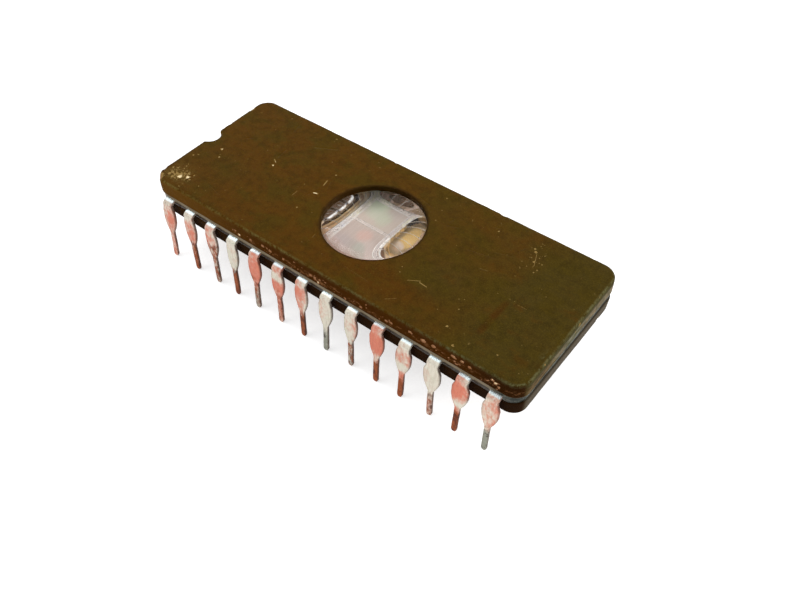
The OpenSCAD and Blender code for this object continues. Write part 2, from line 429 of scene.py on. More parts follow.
def ceramic_material(name, gloss):
    """Pressed and fired ceramic: brown at the notch end, more olive at the far end, cloudy, with fine
    grain. Values on the mesh say where it is chipped (chip), worn by rubbing or given a painted edge highlight (rub),
    dirty or in painted shade (dark), a side wall, or a far end face painted lighter as if lit from that end."""
    m = Nodes(name)
    x, y, z = m.sep()
    brown = m.mix(m.noise(0.22, 3, 0.5, m.mapping((1, 1.3, 1))), (0.076, 0.0285, 0.0010), (0.057, 0.0225, 0.0012))
    olive = m.mix(m.noise(0.3, 3, 0.5, m.mapping((1, 1.3, 1), loc=(7, 3, 0))), (0.039, 0.0262, 0.0028), (0.043, 0.0275, 0.0052))
    far = m.math("ADD", m.map(x, -5.0, 18.0), m.map(m.noise(0.12, 2), 0.3, 0.7, -0.25, 0.25), True)
    col = m.mix(far, brown, olive)
    # a redder brown patch in front of the window
    dx = m.math("MULTIPLY", m.math("SUBTRACT", x, 3.5), 0.17)
    dy = m.math("MULTIPLY", m.math("ADD", y, 4.6), 0.62)
    d2 = m.math("ADD", m.math("MULTIPLY", dx, dx), m.math("MULTIPLY", dy, dy))
    patch = m.math("MULTIPLY", m.map(d2, 1.2, 0.1), 0.85)
    col = m.mix(patch, col, (0.063, 0.0212, 0.0012))
    front = m.math("MULTIPLY", m.map(y, -3.2, -5.6), m.map(x, 14.0, 10.0))
    col = m.mix(m.math("MULTIPLY", front, 0.45), col, (0.062, 0.0212, 0.0010))
    line = m.math("MULTIPLY", m.map(m.math("ABSOLUTE", m.math("SUBTRACT", x, 13.22)), 0.42, 0.08), m.math("MULTIPLY", m.map(y, -4.8, -4.0), m.map(y, -0.5, -1.2)))
    col = m.mix(m.math("MULTIPLY", line, 0.85), col, (0.056, 0.0185, 0.0010))
    # faint streaks along the package, clouds of olive and brown, and speckle
    streak = m.noise(1.0, 3, 0.6, m.mapping((0.10, 2.6, 1.0)))
    col = m.mix(m.map(streak, 0.35, 0.75, 0.0, 0.30), col, m.mix(0.4, col, (0.090, 0.052, 0.003)))
    tone = m.noise(0.55, 4, 0.6, m.mapping((0.7, 1, 1), loc=(2, 5, 0)))
    col = m.mix(m.map(tone, 0.44, 0.66, 0.0, 0.6), col, (0.046, 0.0290, 0.0014))
    col = m.mix(m.map(tone, 0.46, 0.30, 0.0, 0.5), col, (0.066, 0.0240, 0.0012))
    cloud = m.noise(1.4, 5, 0.62)
    col = m.mix(m.map(cloud, 0.42, 0.68, 0.0, 0.75), col, m.mix(0.45, col, (0.016, 0.009, 0.001)))
    grain = m.noise(8.0, 4, 0.75)
    col = m.mix(m.map(grain, 0.45, 0.70, 0.0, 0.75), col, m.mix(0.32, col, (0.115, 0.074, 0.008)))
    col = m.mix(m.map(grain, 0.42, 0.30, 0.0, 0.6), col, m.mix(0.4, col, (0.020, 0.009, 0.001)))
    fine = m.noise(23.0, 2, 0.6)
    col = m.mix(m.map(fine, 0.62, 0.74, 0.0, 0.6), col, (0.14, 0.095, 0.018))
    pores = m.voronoi(5.5)
    col = m.mix(m.map(pores, 0.07, 0.02, 0.0, 0.6), col, (0.010, 0.006, 0.002))
    side = m.attr("side")
    # the side wall: painted shade, darker than the top, lighter towards the notch end and darker towards the far end,
    # with a broken band of bare orange and tan body
    wall_shade_colour = m.mix(m.noise(1.1, 4, 0.6, m.mapping((0.5, 0.5, 1.6))), (0.048, 0.0150, 0.0007), (0.032, 0.0090, 0.0004))
    wall_shade_colour = m.mix(m.map(x, -3.0, -16.0, 0.0, 0.8), wall_shade_colour, (0.098, 0.0430, 0.0050))
    wall_shade_colour = m.mix(m.map(x, 12.5, 17.0, 0.0, 0.75), wall_shade_colour, (0.014, 0.0045, 0.0006))
    band = m.math("MULTIPLY", m.map(z, Z_TOP - 1.32, Z_TOP - 1.10), m.map(z, Z_TOP - 0.55, Z_TOP - 0.85))
    n1 = m.noise(3.1, 5, 0.72, m.mapping((0.7, 1.0, 1.5)))
    spots = m.math("MULTIPLY", m.map(n1, 0.52, 0.60), band)
    worn = m.math("MULTIPLY", m.map(x, -10.0, 0.0, 0.2, 1.0), m.map(x, 9.0, 4.0, 0.55, 1.0))
    wall_shade_colour = m.mix(m.math("MULTIPLY", m.math("MULTIPLY", spots, 0.62), worn), wall_shade_colour, m.mix(m.noise(2.0, 2), (0.19, 0.066, 0.018), (0.23, 0.115, 0.050)))
    wall_shade_colour = m.mix(m.map(fine, 0.60, 0.74, 0.0, 0.4), wall_shade_colour, (0.11, 0.052, 0.02))
    # painted highlight: a paler band along the lid's lower edge
    wall_shade_colour = m.mix(m.math("MULTIPLY", m.map(z, Z_LID + 0.13, Z_LID + 0.05), m.map(z, Z_LID - 0.10, Z_LID - 0.05)), wall_shade_colour, (0.155, 0.115, 0.070))
    col = m.mix(side, col, wall_shade_colour)
    # painted light: the far end faces are painted lighter and greener than the top, as if lit from that end, mottled,
    # darker near the top and grey at the base
    end = m.attr("end")
    mottle = m.map(m.noise(1.6, 4, 0.65, m.mapping((0.5, 0.45, 2.0))), 0.40, 0.60)
    lit_end_colour = m.mix(mottle, (0.128, 0.117, 0.076), (0.056, 0.054, 0.027))
    lit_end_colour = m.mix(m.map(m.noise(1.2, 4, 0.6, m.mapping((1, 0.6, 1.5), loc=(3, 0, 0))), 0.5, 0.66, 0.0, 0.55), lit_end_colour, (0.105, 0.060, 0.036))
    lit_end_colour = m.mix(m.map(y, -1.6, -3.6), lit_end_colour, m.mix(mottle, (0.112, 0.074, 0.034), (0.048, 0.031, 0.012)))
    lit_end_colour = m.mix(m.map(y, 0.8, 2.6, 0.0, 0.8), lit_end_colour, m.mix(m.map(m.noise(1.3, 4, 0.65), 0.40, 0.60), (0.160, 0.118, 0.070), (0.066, 0.056, 0.030)))
    lit_end_colour = m.mix(m.map(z, Z_TOP - 0.72, Z_TOP - 0.40), lit_end_colour, (0.038, 0.032, 0.011))
    lit_end_colour = m.mix(m.map(z, Z_GLASS + 0.3, Z_GLASS + 0.1), lit_end_colour, m.mix(m.noise(1.4, 3, 0.6), (0.072, 0.056, 0.038), (0.058, 0.048, 0.034)))
    col = m.mix(end, col, lit_end_colour)
    # wear from rubbing, and a painted highlight along the lid's upper edge
    wear_and_sheen = m.attr("wear_and_sheen")
    worn_and_sheen = m.math("MULTIPLY", wear_and_sheen, m.map(m.noise(4.0, 5, 0.7), 0.36, 0.60), True)
    col = m.mix(worn_and_sheen, col, m.mix(m.map(x, -17.0, 17.0), (0.120, 0.084, 0.022), (0.088, 0.082, 0.034)))
    chip = m.attr("chip")
    broken = m.math("MULTIPLY", chip, m.map(m.noise(7.0, 4, 0.7), 0.25, 0.55, 0.55, 1.25))
    bare = m.mix(m.noise(2.6, 2), (0.21, 0.118, 0.030), (0.25, 0.175, 0.062))
    bare = m.mix(side, bare, m.mix(m.noise(3.3, 3), (0.20, 0.078, 0.026), (0.30, 0.155, 0.082)))
    col = m.mix(m.map(broken, 0.12, 0.42), col, bare)
    col = m.mix(m.map(broken, 0.66, 1.0), col, (0.74, 0.60, 0.36))
    # grime, and painted shade in the window hole's wall and on the base's walls under the lid
    dirt_and_shade = m.attr("dirt_and_shade")
    dirt_and_shade_amount = m.math("MULTIPLY", dirt_and_shade, m.map(m.noise(3.0, 4, 0.6), 0.2, 0.6, 0.75, 1.0), True)
    col = m.mix(dirt_and_shade_amount, col, (0.014, 0.0056, 0.0018))
    rough = m.math("ADD", m.map(cloud, 0.3, 0.7, 0.44, 0.58), m.map(grain, 0.3, 0.7, -0.05, 0.07))
    rough = m.math("ADD", rough, m.math("MULTIPLY", chip, 0.25), True)
    n0 = m.bump(m.noise(11.0, 5, 0.7), 0.5, 0.018)
    n1b = m.bump(m.noise(1.3, 3, 0.5), 0.35, 0.05, n0)
    n2 = m.bump(m.map(pores, 0.0, 0.09), 0.5, 0.02, n1b)
    p = m.principled(Base_Color=col, Roughness=rough, Normal=n2)
    p.inputs["Specular IOR Level"].default_value = gloss
    p.inputs["Specular Tint"].default_value = (1.0, 0.76, 0.36, 1.0)
    return m.mat


def glass_seal_material():
    """Lead glass frit: greenish grey at the corners and ends; along the rows a beige line painted as a highlight, over
    painted shade below the leads, mottled."""
    m = Nodes("sealing_glass_frit")
    x, y, z = m.sep()
    teal = m.mix(m.map(m.noise(1.6, 4, 0.65), 0.40, 0.60), (0.056, 0.062, 0.050), (0.017, 0.021, 0.017))
    beige = m.mix(m.noise(1.5, 4, 0.6, m.mapping((0.6, 1, 1))), (0.215, 0.165, 0.100), (0.140, 0.106, 0.066))
    # painted highlight: the beige line along the rows
    rows = m.math("MULTIPLY", m.map(m.math("ABSOLUTE", y), 6.3, 6.6), m.map(x, 17.0, 15.4))
    base = m.mix(rows, teal, beige)
    base = m.mix(m.map(m.noise(4.0, 4, 0.7), 0.55, 0.70, 0.0, 0.5), base, (0.20, 0.19, 0.15))
    # painted shade: darker below the leads along the rows, mottled
    shade_mottle = m.map(m.noise(2.0, 5, 0.7, m.mapping((0.6, 0.6, 2.0))), 0.40, 0.62)
    low = m.math("MULTIPLY", m.map(z, Z_GLASS + 0.50, Z_GLASS + 0.34), m.map(rows, 0.0, 1.0, 0.0, 1.0))
    base = m.mix(m.math("MULTIPLY", m.math("ADD", m.math("MULTIPLY", shade_mottle, 0.2), 0.8), low), base, (0.012, 0.008, 0.006))
    seam = m.map(z, Z_GLASS + 0.10, Z_GLASS)
    base = m.mix(m.math("MULTIPLY", seam, 0.8), base, (0.018, 0.014, 0.010))
    bubbles = m.voronoi(7.0)
    base = m.mix(m.map(bubbles, 0.11, 0.06, 0.0, 0.45), base, (0.03, 0.03, 0.026))
    n = m.bump(m.noise(2.5, 4, 0.6), 0.35, 0.05)
    n = m.bump(m.map(bubbles, 0.02, 0.12), 0.4, 0.02, n)
    # round the cavity: pale polished glass between the finger ends, brown film below and on top, with painted shade on
    # the far wall and under the fingers at the notch end
    inside = m.math("MULTIPLY", m.map(m.math("ABSOLUTE", x), 4.5, 4.3), m.map(m.math("ABSOLUTE", y), 5.3, 5.1))
    film = m.mix(m.noise(2.4, 4, 0.6), (0.80, 0.58, 0.29), (0.58, 0.43, 0.22))
    # painted shade: the film on the far wall darker
    film = m.mix(m.map(y, 3.9, 4.2), film, m.mix(m.noise(2.2, 4, 0.6), (0.17, 0.105, 0.058), (0.32, 0.205, 0.120)))
    film = m.mix(m.math("MULTIPLY", m.map(z, Z_LEAD - 0.05, Z_LEAD + 0.04), m.map(y, 4.2, 3.9, 0.15, 1.0)), film, (0.30, 0.30, 0.33))
    # painted shade under the fingers at the notch end
    under = m.math("MULTIPLY", m.map(x, -3.0, -3.3), m.map(z, Z_LEAD - 0.03, Z_LEAD - 0.10))
    under = m.math("MULTIPLY", under, m.map(y, -1.25, -0.85))
    film = m.mix(m.math("MULTIPLY", under, 0.85), film, m.mix(m.map(m.noise(2.8, 3, 0.6), 0.4, 0.6), (0.150, 0.100, 0.066), (0.070, 0.050, 0.038)))
    film = m.mix(m.map(z, Z_STRIP - 0.035, Z_STRIP - 0.01), film, m.mix(m.noise(3.0, 3, 0.6), (0.060, 0.040, 0.026), (0.105, 0.070, 0.036)))
    base = m.mix(inside, base, film)
    p = m.principled(Base_Color=base, Roughness=m.map(m.noise(3.0, 3), 0.3, 0.7, 0.22, 0.45), Normal=n)
    p.inputs["Specular IOR Level"].default_value = 0.10
    return m.mat


def lead_material(name="lead_tinned"):
    """Old tin on iron-nickel. Values on the mesh: tarn (cream to salmon tarnish), rust (brown pin),
    grey (bare grey solder), cut (sheared edge, with grime and rust, painted shade on it and a painted shade outline
    along the blade edges), clad (bright aluminium at the finger tip), strip (the flat, still bright shoulder)."""
    m = Nodes(name)
    tarn, rust, grey, cut, clad, strip, bend = [m.attr(k) for k in ("tarn", "rust", "grey", "cut", "clad", "strip", "bend")]
    big = m.noise(0.85, 4, 0.6, m.mapping((1, 1, 0.8)))
    mid = m.noise(3.2, 4, 0.65, m.mapping((1.2, 1, 0.7)))
    fine = m.noise(16.0, 3, 0.6)
    brush = m.noise(6.0, 3, 0.6, m.mapping((1.15, 1, 0.14)))
    cream = m.mix(mid, (0.66, 0.610, 0.500), (0.56, 0.52, 0.44))
    cream = m.mix(m.map(brush, 0.45, 0.66, 0.0, 0.40), cream, (0.43, 0.37, 0.28))
    cream = m.mix(m.map(m.noise(2.2, 2, 0.5), 0.52, 0.68, 0.0, 0.35), cream, (0.52, 0.55, 0.42))
    salmon = m.mix(m.noise(1.9, 4, 0.65), (0.55, 0.132, 0.074), (0.57, 0.200, 0.124))
    salmon = m.mix(m.map(brush, 0.45, 0.66, 0.0, 0.45), salmon, (0.42, 0.105, 0.055))
    salmon = m.mix(m.map(mid, 0.56, 0.72, 0.0, 0.5), salmon, (0.60, 0.235, 0.100))
    t = m.math("ADD", tarn, m.map(big, 0.3, 0.7, -0.16, 0.16))
    t = m.math("ADD", t, m.map(mid, 0.3, 0.7, -0.20, 0.20))
    t = m.map(t, 0.08, 0.92)
    col = m.mix(t, cream, salmon)
    g = m.math("ADD", grey, m.map(mid, 0.3, 0.7, -0.25, 0.2))
    g = m.map(g, 0.15, 0.80)
    greyc = m.mix(mid, (0.15, 0.150, 0.112), (0.32, 0.322, 0.262))
    greyc = m.mix(m.map(m.noise(2.6, 3, 0.6), 0.54, 0.64, 0.0, 0.85), greyc, (0.055, 0.047, 0.034))
    col = m.mix(g, col, greyc)
    r = m.math("ADD", rust, m.map(mid, 0.3, 0.7, -0.22, 0.20))
    r = m.map(r, 0.18, 0.68)
    rustc = m.mix(m.noise(4.5, 4, 0.7), (0.21, 0.045, 0.011), (0.32, 0.085, 0.024))
    rustc = m.mix(m.map(m.noise(2.1, 3, 0.6, m.mapping((1, 1, 0.6), loc=(4, 0, 2))), 0.46, 0.62, 0.0, 0.8), rustc, (0.055, 0.011, 0.006))
    rustc = m.mix(m.map(fine, 0.55, 0.7, 0.0, 0.5), rustc, (0.03, 0.009, 0.006))
    col = m.mix(r, col, rustc)
    # grime and rust on the sheared sides, with painted shade there and a painted shade outline along the blade edges
    c = m.math("MULTIPLY", cut, m.map(mid, 0.25, 0.6, 0.65, 1.0), True)
    col = m.mix(c, col, m.mix(m.noise(2.4, 3, 0.6), (0.040, 0.016, 0.012), (0.105, 0.050, 0.032)))
    pits = m.map(m.noise(7.5, 4, 0.75), 0.60, 0.70)
    col = m.mix(m.math("MULTIPLY", pits, m.math("SUBTRACT", 0.6, m.math("MULTIPLY", strip, 0.55))), col, (0.16, 0.085, 0.050))
    col = m.mix(m.math("MULTIPLY", strip, m.map(brush, 0.35, 0.65, 1.0, 0.82)), col, m.mix(mid, (0.53, 0.61, 0.62), (0.40, 0.48, 0.50)))
    inner = m.attr("inner")
    x, y, z = m.sep()
    col = m.mix(inner, col, m.mix(mid, (0.56, 0.330, 0.190), (0.32, 0.195, 0.120)))
    # the finger tips at the notch end: a painted reflection in dark brown over the far ones, lighter gold on the near
    # ones
    col = m.mix(m.math("MULTIPLY", inner, m.map(x, -3.3, -3.7, 0.0, 0.8)), col, m.mix(m.map(y, -1.25, -1.0), (0.86, 0.62, 0.36), (0.15, 0.095, 0.060)))
    clad = m.math("MULTIPLY", clad, m.map(m.noise(1.5, 2, 0.5, m.mapping(loc=(1, 6, 0))), 0.36, 0.48, 0.55, 1.0), True)
    clad = m.math("MULTIPLY", clad, m.math("MAXIMUM", m.map(x, -1.0, 1.0), m.map(y, -1.25, -1.05, 0.2, 1.0)))
    col = m.mix(clad, col, (0.95, 0.97, 1.0))
    duller = m.math("ADD", m.math("MULTIPLY", t, 0.30), m.math("MULTIPLY", m.math("MAXIMUM", r, c), 0.75), True)
    duller = m.math("ADD", duller, m.math("MULTIPLY", clad, 0.6), True)
    duller = m.math("ADD", duller, m.math("MULTIPLY", m.math("MAXIMUM", inner, bend), 0.5), True)
    metal = m.math("SUBTRACT", 0.90, duller, True)
    rough = m.math("ADD", m.map(fine, 0.3, 0.7, 0.36, 0.48), m.math("MULTIPLY", duller, 0.2))
    rough = m.math("SUBTRACT", rough, m.math("MULTIPLY", m.math("MAXIMUM", strip, clad), 0.16), True)
    n = m.bump(fine, 0.25, 0.012)
    n = m.bump(mid, 0.35, 0.035, n)
    n = m.bump(brush, 0.25, 0.014, n)
    m.principled(Base_Color=col, Roughness=rough, Metallic=metal, Normal=n,
                 Specular_IOR_Level=m.map(m.math("MAXIMUM", r, c), 0.0, 1.0, 0.5, 0.12, "LINEAR"))
    return m.mat


def gold_material():
    """Fired gold on the cavity floor, rough and cloudy, darker in patches where it thins, with painted shade along the
    far side.
    """
    m = Nodes("fired_gold")
    mid = m.noise(2.3, 5, 0.65)
    fine = m.noise(14.0, 4, 0.7)
    col = m.mix(m.map(mid, 0.3, 0.7), (1.0, 0.70, 0.28), (1.0, 0.64, 0.22))
    col = m.mix(m.map(fine, 0.45, 0.7, 0.0, 0.5), col, (1.0, 0.80, 0.48))
    col = m.mix(m.map(m.noise(5.0, 4, 0.7, m.mapping(loc=(5, 1, 0))), 0.60, 0.74, 0.0, 0.6), col, (0.50, 0.30, 0.12))
    x, y, z = m.sep()
    # painted olive shadow beside the die, and painted shade in brown along the far side
    col = m.mix(m.math("MULTIPLY", m.math("MULTIPLY", m.map(x, 1.82, 1.66), m.map(x, 0.5, 1.0)), m.map(y, 0.7, 1.2)), col, (0.66, 0.48, 0.23))
    tan = m.math("MULTIPLY", m.map(x, 1.80, 1.65), m.map(y, 0.75, 0.5))
    col = m.mix(m.math("MULTIPLY", tan, 0.8), col, (0.88, 0.62, 0.49))
    # painted reflection: a pinkish white blob on the gold to the right of the die
    sx, sy = m.math("MULTIPLY", m.math("SUBTRACT", x, 1.92), 3.2), m.math("MULTIPLY", m.math("SUBTRACT", y, 0.72), 2.4)
    smear_and_reflection = m.map(m.math("ADD", m.math("MULTIPLY", sx, sx), m.math("MULTIPLY", sy, sy)), 1.3, 0.3)
    col = m.mix(m.math("MULTIPLY", smear_and_reflection, m.map(fine, 0.35, 0.55, 0.6, 1.0)), col, (1.0, 0.84, 0.74))
    col = m.mix(m.map(x, -2.4, -2.8, 0.0, 0.8), col, m.mix(m.map(y, -0.6, 0.6), (0.98, 0.68, 0.36), (0.95, 0.83, 0.61)))
    blotch = m.noise(1.7, 4, 0.65, m.mapping((1.0, 1.6, 1), loc=(3, 8, 0)))
    # painted shade in brown along the far side, blotchy
    far_side_shade = m.mix(m.map(blotch, 0.42, 0.60), (0.50, 0.34, 0.20), (0.97, 0.73, 0.59))
    col = m.mix(m.map(y, 3.45, 3.75), col, far_side_shade)
    attach = m.attr("attach")
    col = m.mix(attach, col, m.mix(fine, (0.66, 0.50, 0.30), (0.42, 0.30, 0.17)))
    n = m.bump(fine, 0.2, 0.012)
    n = m.bump(mid, 0.25, 0.04, n)
    m.principled(Base_Color=col, Metallic=m.math("MULTIPLY", m.map(attach, 0, 1, 0.05, 0.4, "LINEAR"), m.map(y, 3.75, 3.45, 0.6, 1.0)), Roughness=m.map(fine, 0.3, 0.7, 0.36, 0.50), Normal=n,
                 Specular_IOR_Level=0.25)
    return m.mat


def paste_material():
    """Gold paste fired thinly on the walls of the cavity, olive brown."""
    m = Nodes("cavity_gold_paste")
    mid = m.noise(2.0, 5, 0.65)
    fine = m.noise(13.0, 4, 0.7)
    col = m.mix(m.map(mid, 0.3, 0.7), (0.84, 0.63, 0.35), (0.62, 0.47, 0.26))
    col = m.mix(m.map(fine, 0.5, 0.7, 0.0, 0.5), col, (0.95, 0.70, 0.38))
    x, y, z = m.sep()
    # painted shade: darker brown on the far wall
    col = m.mix(m.map(y, 3.7, 4.1), col, m.mix(m.map(m.noise(1.8, 4, 0.65), 0.35, 0.65), (0.32, 0.195, 0.100), (0.15, 0.085, 0.030)))
    n = m.bump(mid, 0.4, 0.04, m.bump(fine, 0.4, 0.015))
    m.principled(Base_Color=col, Metallic=m.map(mid, 0.3, 0.7, 0.25, 0.45), Roughness=m.map(fine, 0.3, 0.7, 0.40, 0.6), Normal=n,
                 Specular_IOR_Level=0.2)
    return m.mat


def die_vec(m):
    """Coordinates of the die's own frame, in millimetres, inside a material."""
    n = m.t.nodes.new("ShaderNodeMapping")
    n.vector_type = "TEXTURE"
    m.link(m.mm, n.inputs["Vector"])
    n.inputs["Location"].default_value = (DIE_C[0], DIE_C[1], 0)
    n.inputs["Rotation"].default_value = (0, 0, DIE_TURN)
    s = m.t.nodes.new("ShaderNodeSeparateXYZ")
    m.link(n.outputs[0], s.inputs[0])
    return n.outputs[0], s.outputs


def die_array_material():
    """Memory cells under passivation: fine rows and columns, thin-film colours from green to pink."""
    m = Nodes("die_cells")
    v, (x, y, z) = die_vec(m)
    grey = (0.64, 0.53, 0.445)
    col = m.mix(m.noise(0.35, 2, 0.5, v), grey, (0.66, 0.54, 0.47))
    col = m.mix(m.map(y, -0.4, 0.6), m.mix(0.45, col, (0.52, 0.395, 0.37)), col)

    def spot(cx, cy, kx, ky, col, c, f):
        ax = m.math("MULTIPLY", m.math("SUBTRACT", x, cx), kx)
        ay = m.math("MULTIPLY", m.math("SUBTRACT", y, cy), ky)
        d = m.math("ADD", m.math("MULTIPLY", ax, ax), m.math("MULTIPLY", ay, ay))
        return m.mix(m.math("MULTIPLY", m.map(d, 1.0, 0.0), f), col, c)

    col = spot(-1.0, 2.95, 0.75, 0.72, col, (0.74, 0.80, 0.59), 0.95)
    col = spot(-0.45, 1.88, 0.60, 0.95, col, (0.62, 0.67, 0.51), 0.65)
    col = spot(0.45, 1.65, 1.20, 0.80, col, (0.60, 0.61, 0.46), 0.70)
    col = spot(0.38, -0.80, 1.05, 1.10, col, (0.72, 0.465, 0.395), 0.85)
    col = spot(1.35, -1.75, 0.80, 0.85, col, (0.72, 0.59, 0.54), 0.6)
    col = spot(0.1, -2.2, 0.55, 1.3, col, (0.47, 0.40, 0.36), 0.75)
    col = spot(0.8, -2.0, 1.5, 1.5, col, (0.48, 0.50, 0.42), 0.6)
    col = spot(-0.9, -2.3, 0.9, 0.9, col, (0.54, 0.44, 0.43), 0.7)
    col = spot(1.0, 2.85, 0.9, 0.9, col, (0.60, 0.50, 0.455), 0.6)
    # rows and columns
    wx = m.math("SINE", m.math("MULTIPLY", x, 2 * math.pi / 0.052))
    wy = m.math("SINE", m.math("MULTIPLY", y, 2 * math.pi / 0.052))
    cells = m.map(m.math("MULTIPLY", wx, wy), -1, 1, 0.0, 1.0, "LINEAR")
    col = m.mix(m.math("MULTIPLY", cells, 0.16), col, (0.22, 0.18, 0.17))
    taps = m.map(m.math("SINE", m.math("MULTIPLY", x, 2 * math.pi / 0.42)), 0.93, 1.0)
    col = m.mix(m.math("MULTIPLY", taps, 0.28), col, (0.72, 0.68, 0.66))
    n = m.bump(m.noise(1.5, 2, 0.5, v), 0.05, 0.004)
    p = m.principled(Base_Color=col, Roughness=m.map(m.noise(2.0, 3, 0.6, v), 0.3, 0.7, 0.28, 0.38), Normal=n)
    p.inputs["Metallic"].default_value = 0.5
    p.inputs["Specular IOR Level"].default_value = 0.6
    return m.mat


def die_logic_material():
    """The border of the die with decoders and conductors: broken light lines over a grey ground."""
    m = Nodes("die_border")
    v, (x, y, z) = die_vec(m)
    col = m.mix(m.noise(1.3, 3, 0.6, v), (0.47, 0.385, 0.34), (0.58, 0.48, 0.425))
    blocks = m.noise(5.0, 2, 0.5, m.mapping((1.0, 2.2, 1)))
    col = m.mix(m.map(blocks, 0.50, 0.56, 0.0, 0.45), col, (0.66, 0.60, 0.56))
    lines = m.map(m.math("SINE", m.math("MULTIPLY", x, 2 * math.pi / 0.11)), 0.2, 0.9)
    right = m.map(x, 1.77, 1.84)
    col = m.mix(m.math("MULTIPLY", right, 0.9), col, m.mix(m.map(m.noise(2.4, 3, 0.6, m.mapping((1, 0.6, 1))), 0.4, 0.6), (0.36, 0.255, 0.245), (0.60, 0.465, 0.41)))
    col = m.mix(m.math("MULTIPLY", m.math("MULTIPLY", lines, right), 0.35), col, (0.80, 0.72, 0.66))
    # painted highlight: yellowish white in the upper part of the right border
    yellow_highlight = m.math("MULTIPLY", m.map(m.math("ABSOLUTE", m.math("SUBTRACT", y, 2.6)), 0.9, 0.4), m.map(x, 1.9, 1.98))
    col = m.mix(m.math("MULTIPLY", yellow_highlight, 0.8), col, (0.86, 0.82, 0.58))
    lines2 = m.map(m.math("SINE", m.math("MULTIPLY", y, 2 * math.pi / 0.09)), 0.3, 0.9)
    edge = m.math("MAXIMUM", m.map(y, 3.10, 3.18), m.map(y, -3.22, -3.3))
    col = m.mix(m.math("MULTIPLY", m.math("MULTIPLY", lines2, edge), 0.4), col, (0.74, 0.66, 0.62))
    mid = m.map(m.math("ABSOLUTE", m.math("SUBTRACT", y, 0.33)), 0.17, 0.12)
    col = m.mix(m.math("MULTIPLY", mid, 0.8), col, (0.62, 0.50, 0.445))
    left = m.map(x, -1.62, -1.72)
    yel = m.map(m.math("ADD", y, m.noise(1.2, 2, 0.5, v)), 0.1, 1.5)
    pale = m.mix(yel, (0.60, 0.60, 0.66), (0.74, 0.69, 0.47))
    stripes = m.math("MULTIPLY", m.map(m.noise(2.2, 3, 0.6, v), 0.35, 0.6, 0.35, 1.0), left)
    patch = m.math("ADD", m.map(m.math("ABSOLUTE", m.math("SUBTRACT", y, 0.75)), 0.9, 0.3), m.map(m.math("ABSOLUTE", m.math("ADD", y, 0.75)), 0.6, 0.2), True)
    col = m.mix(m.math("MULTIPLY", stripes, m.math("ADD", m.math("MULTIPLY", patch, 0.7), 0.15)), col, pale)
    rim = m.map(x, 2.08, 2.14)
    col = m.mix(m.math("MULTIPLY", rim, 0.75), col, m.mix(m.noise(1.4, 2, 0.5, v), (0.88, 0.86, 0.80), (0.84, 0.80, 0.66)))
    shiny = m.math("MULTIPLY", m.map(x, 1.98, 2.04), m.math("MULTIPLY", m.map(y, -1.3, -0.8), m.map(y, 0.5, 0.2)))
    col = m.mix(m.math("MULTIPLY", shiny, m.map(blocks, 0.45, 0.55, 0.55, 1.0)), col, (1.0, 0.96, 0.92))
    # painted light: the far corner towards the notch end brightened against the shade of the hole's rim
    corner = m.math("MULTIPLY", m.map(y, 1.7, 2.4), m.map(x, 0.2, -0.8))
    col = m.mix(m.math("MULTIPLY", corner, 0.85), col, m.mix(m.map(m.noise(2.2, 3, 0.6, v), 0.4, 0.6), (0.76, 0.72, 0.53), (1.0, 0.94, 0.70)))
    n = m.bump(blocks, 0.3, 0.006)
    p = m.principled(Base_Color=col, Roughness=m.map(blocks, 0.3, 0.7, 0.25, 0.4), Metallic=m.map(shiny, 0, 1, 0.5, 0.1, "LINEAR"), Normal=n)
    p.inputs["Specular IOR Level"].default_value = 0.6
    return m.mat


def die_side_material():
    m = Nodes("die_sawn_side")
    saw = m.noise(3.0, 4, 0.7, m.mapping((1, 1, 14)))
    v, (x, y, z) = die_vec(m)
    col = m.mix(saw, (0.10, 0.095, 0.10), (0.20, 0.185, 0.18))
    # the side facing the far end: a painted reflection of the gold floor, painted shade in a patch towards its far
    # corner, browner towards its near corner, and a painted white highlight
    stripe = m.noise(2.6, 3, 0.6, m.mapping((0.2, 1.6, 0.3)))
    gold_reflection = m.mix(m.map(stripe, 0.35, 0.65), (1.0, 0.80, 0.45), (0.50, 0.38, 0.22))
    gold_reflection = m.mix(m.math("MULTIPLY", m.map(y, 1.9, 2.5), m.map(y, 3.42, 3.22)), gold_reflection, (0.035, 0.036, 0.032))
    white_highlight = m.math("MULTIPLY", m.map(m.math("ABSOLUTE", m.math("ADD", y, 0.25)), 0.55, 0.35), m.map(z, Z_FACE - 0.26, Z_FACE - 0.16))
    gold_reflection = m.mix(m.map(y, -0.1, -0.8), gold_reflection, (0.24, 0.150, 0.115))
    gold_reflection = m.mix(white_highlight, gold_reflection, (1.0, 0.93, 0.85))
    facing = m.map(x, 2.15, 2.22)
    col = m.mix(facing, col, gold_reflection)
    n = m.bump(saw, 0.5, 0.02)
    m.principled(Base_Color=col, Roughness=m.map(saw, 0.3, 0.7, 0.28, 0.5), Normal=n, Specular_IOR_Level=0.25,
                 Metallic=m.math("MULTIPLY", m.map(saw, 0.3, 0.7, 0.3, 0.45), m.map(facing, 0.0, 1.0, 1.0, 0.6, "LINEAR")))
    return m.mat


def aluminium_material(name, tint=(0.90, 0.90, 0.92), rough=0.22, metal=0.92):
    m = Nodes(name)
    a = m.noise(12.0, 3, 0.6)
    b = m.noise(2.2, 3, 0.6)
    col = m.mix(a, tint, tuple(c * 0.78 for c in tint))
    col = m.mix(m.map(b, 0.45, 0.7, 0.0, 0.4), col, tuple(c * 0.55 for c in tint))
    n = m.bump(a, 0.25, 0.006)
    m.principled(Base_Color=col, Roughness=m.map(a, 0.3, 0.7, rough, rough + 0.12), Metallic=m.map(b, 0, 1, metal + 0.03, metal - 0.02), Normal=n)
    return m.mat


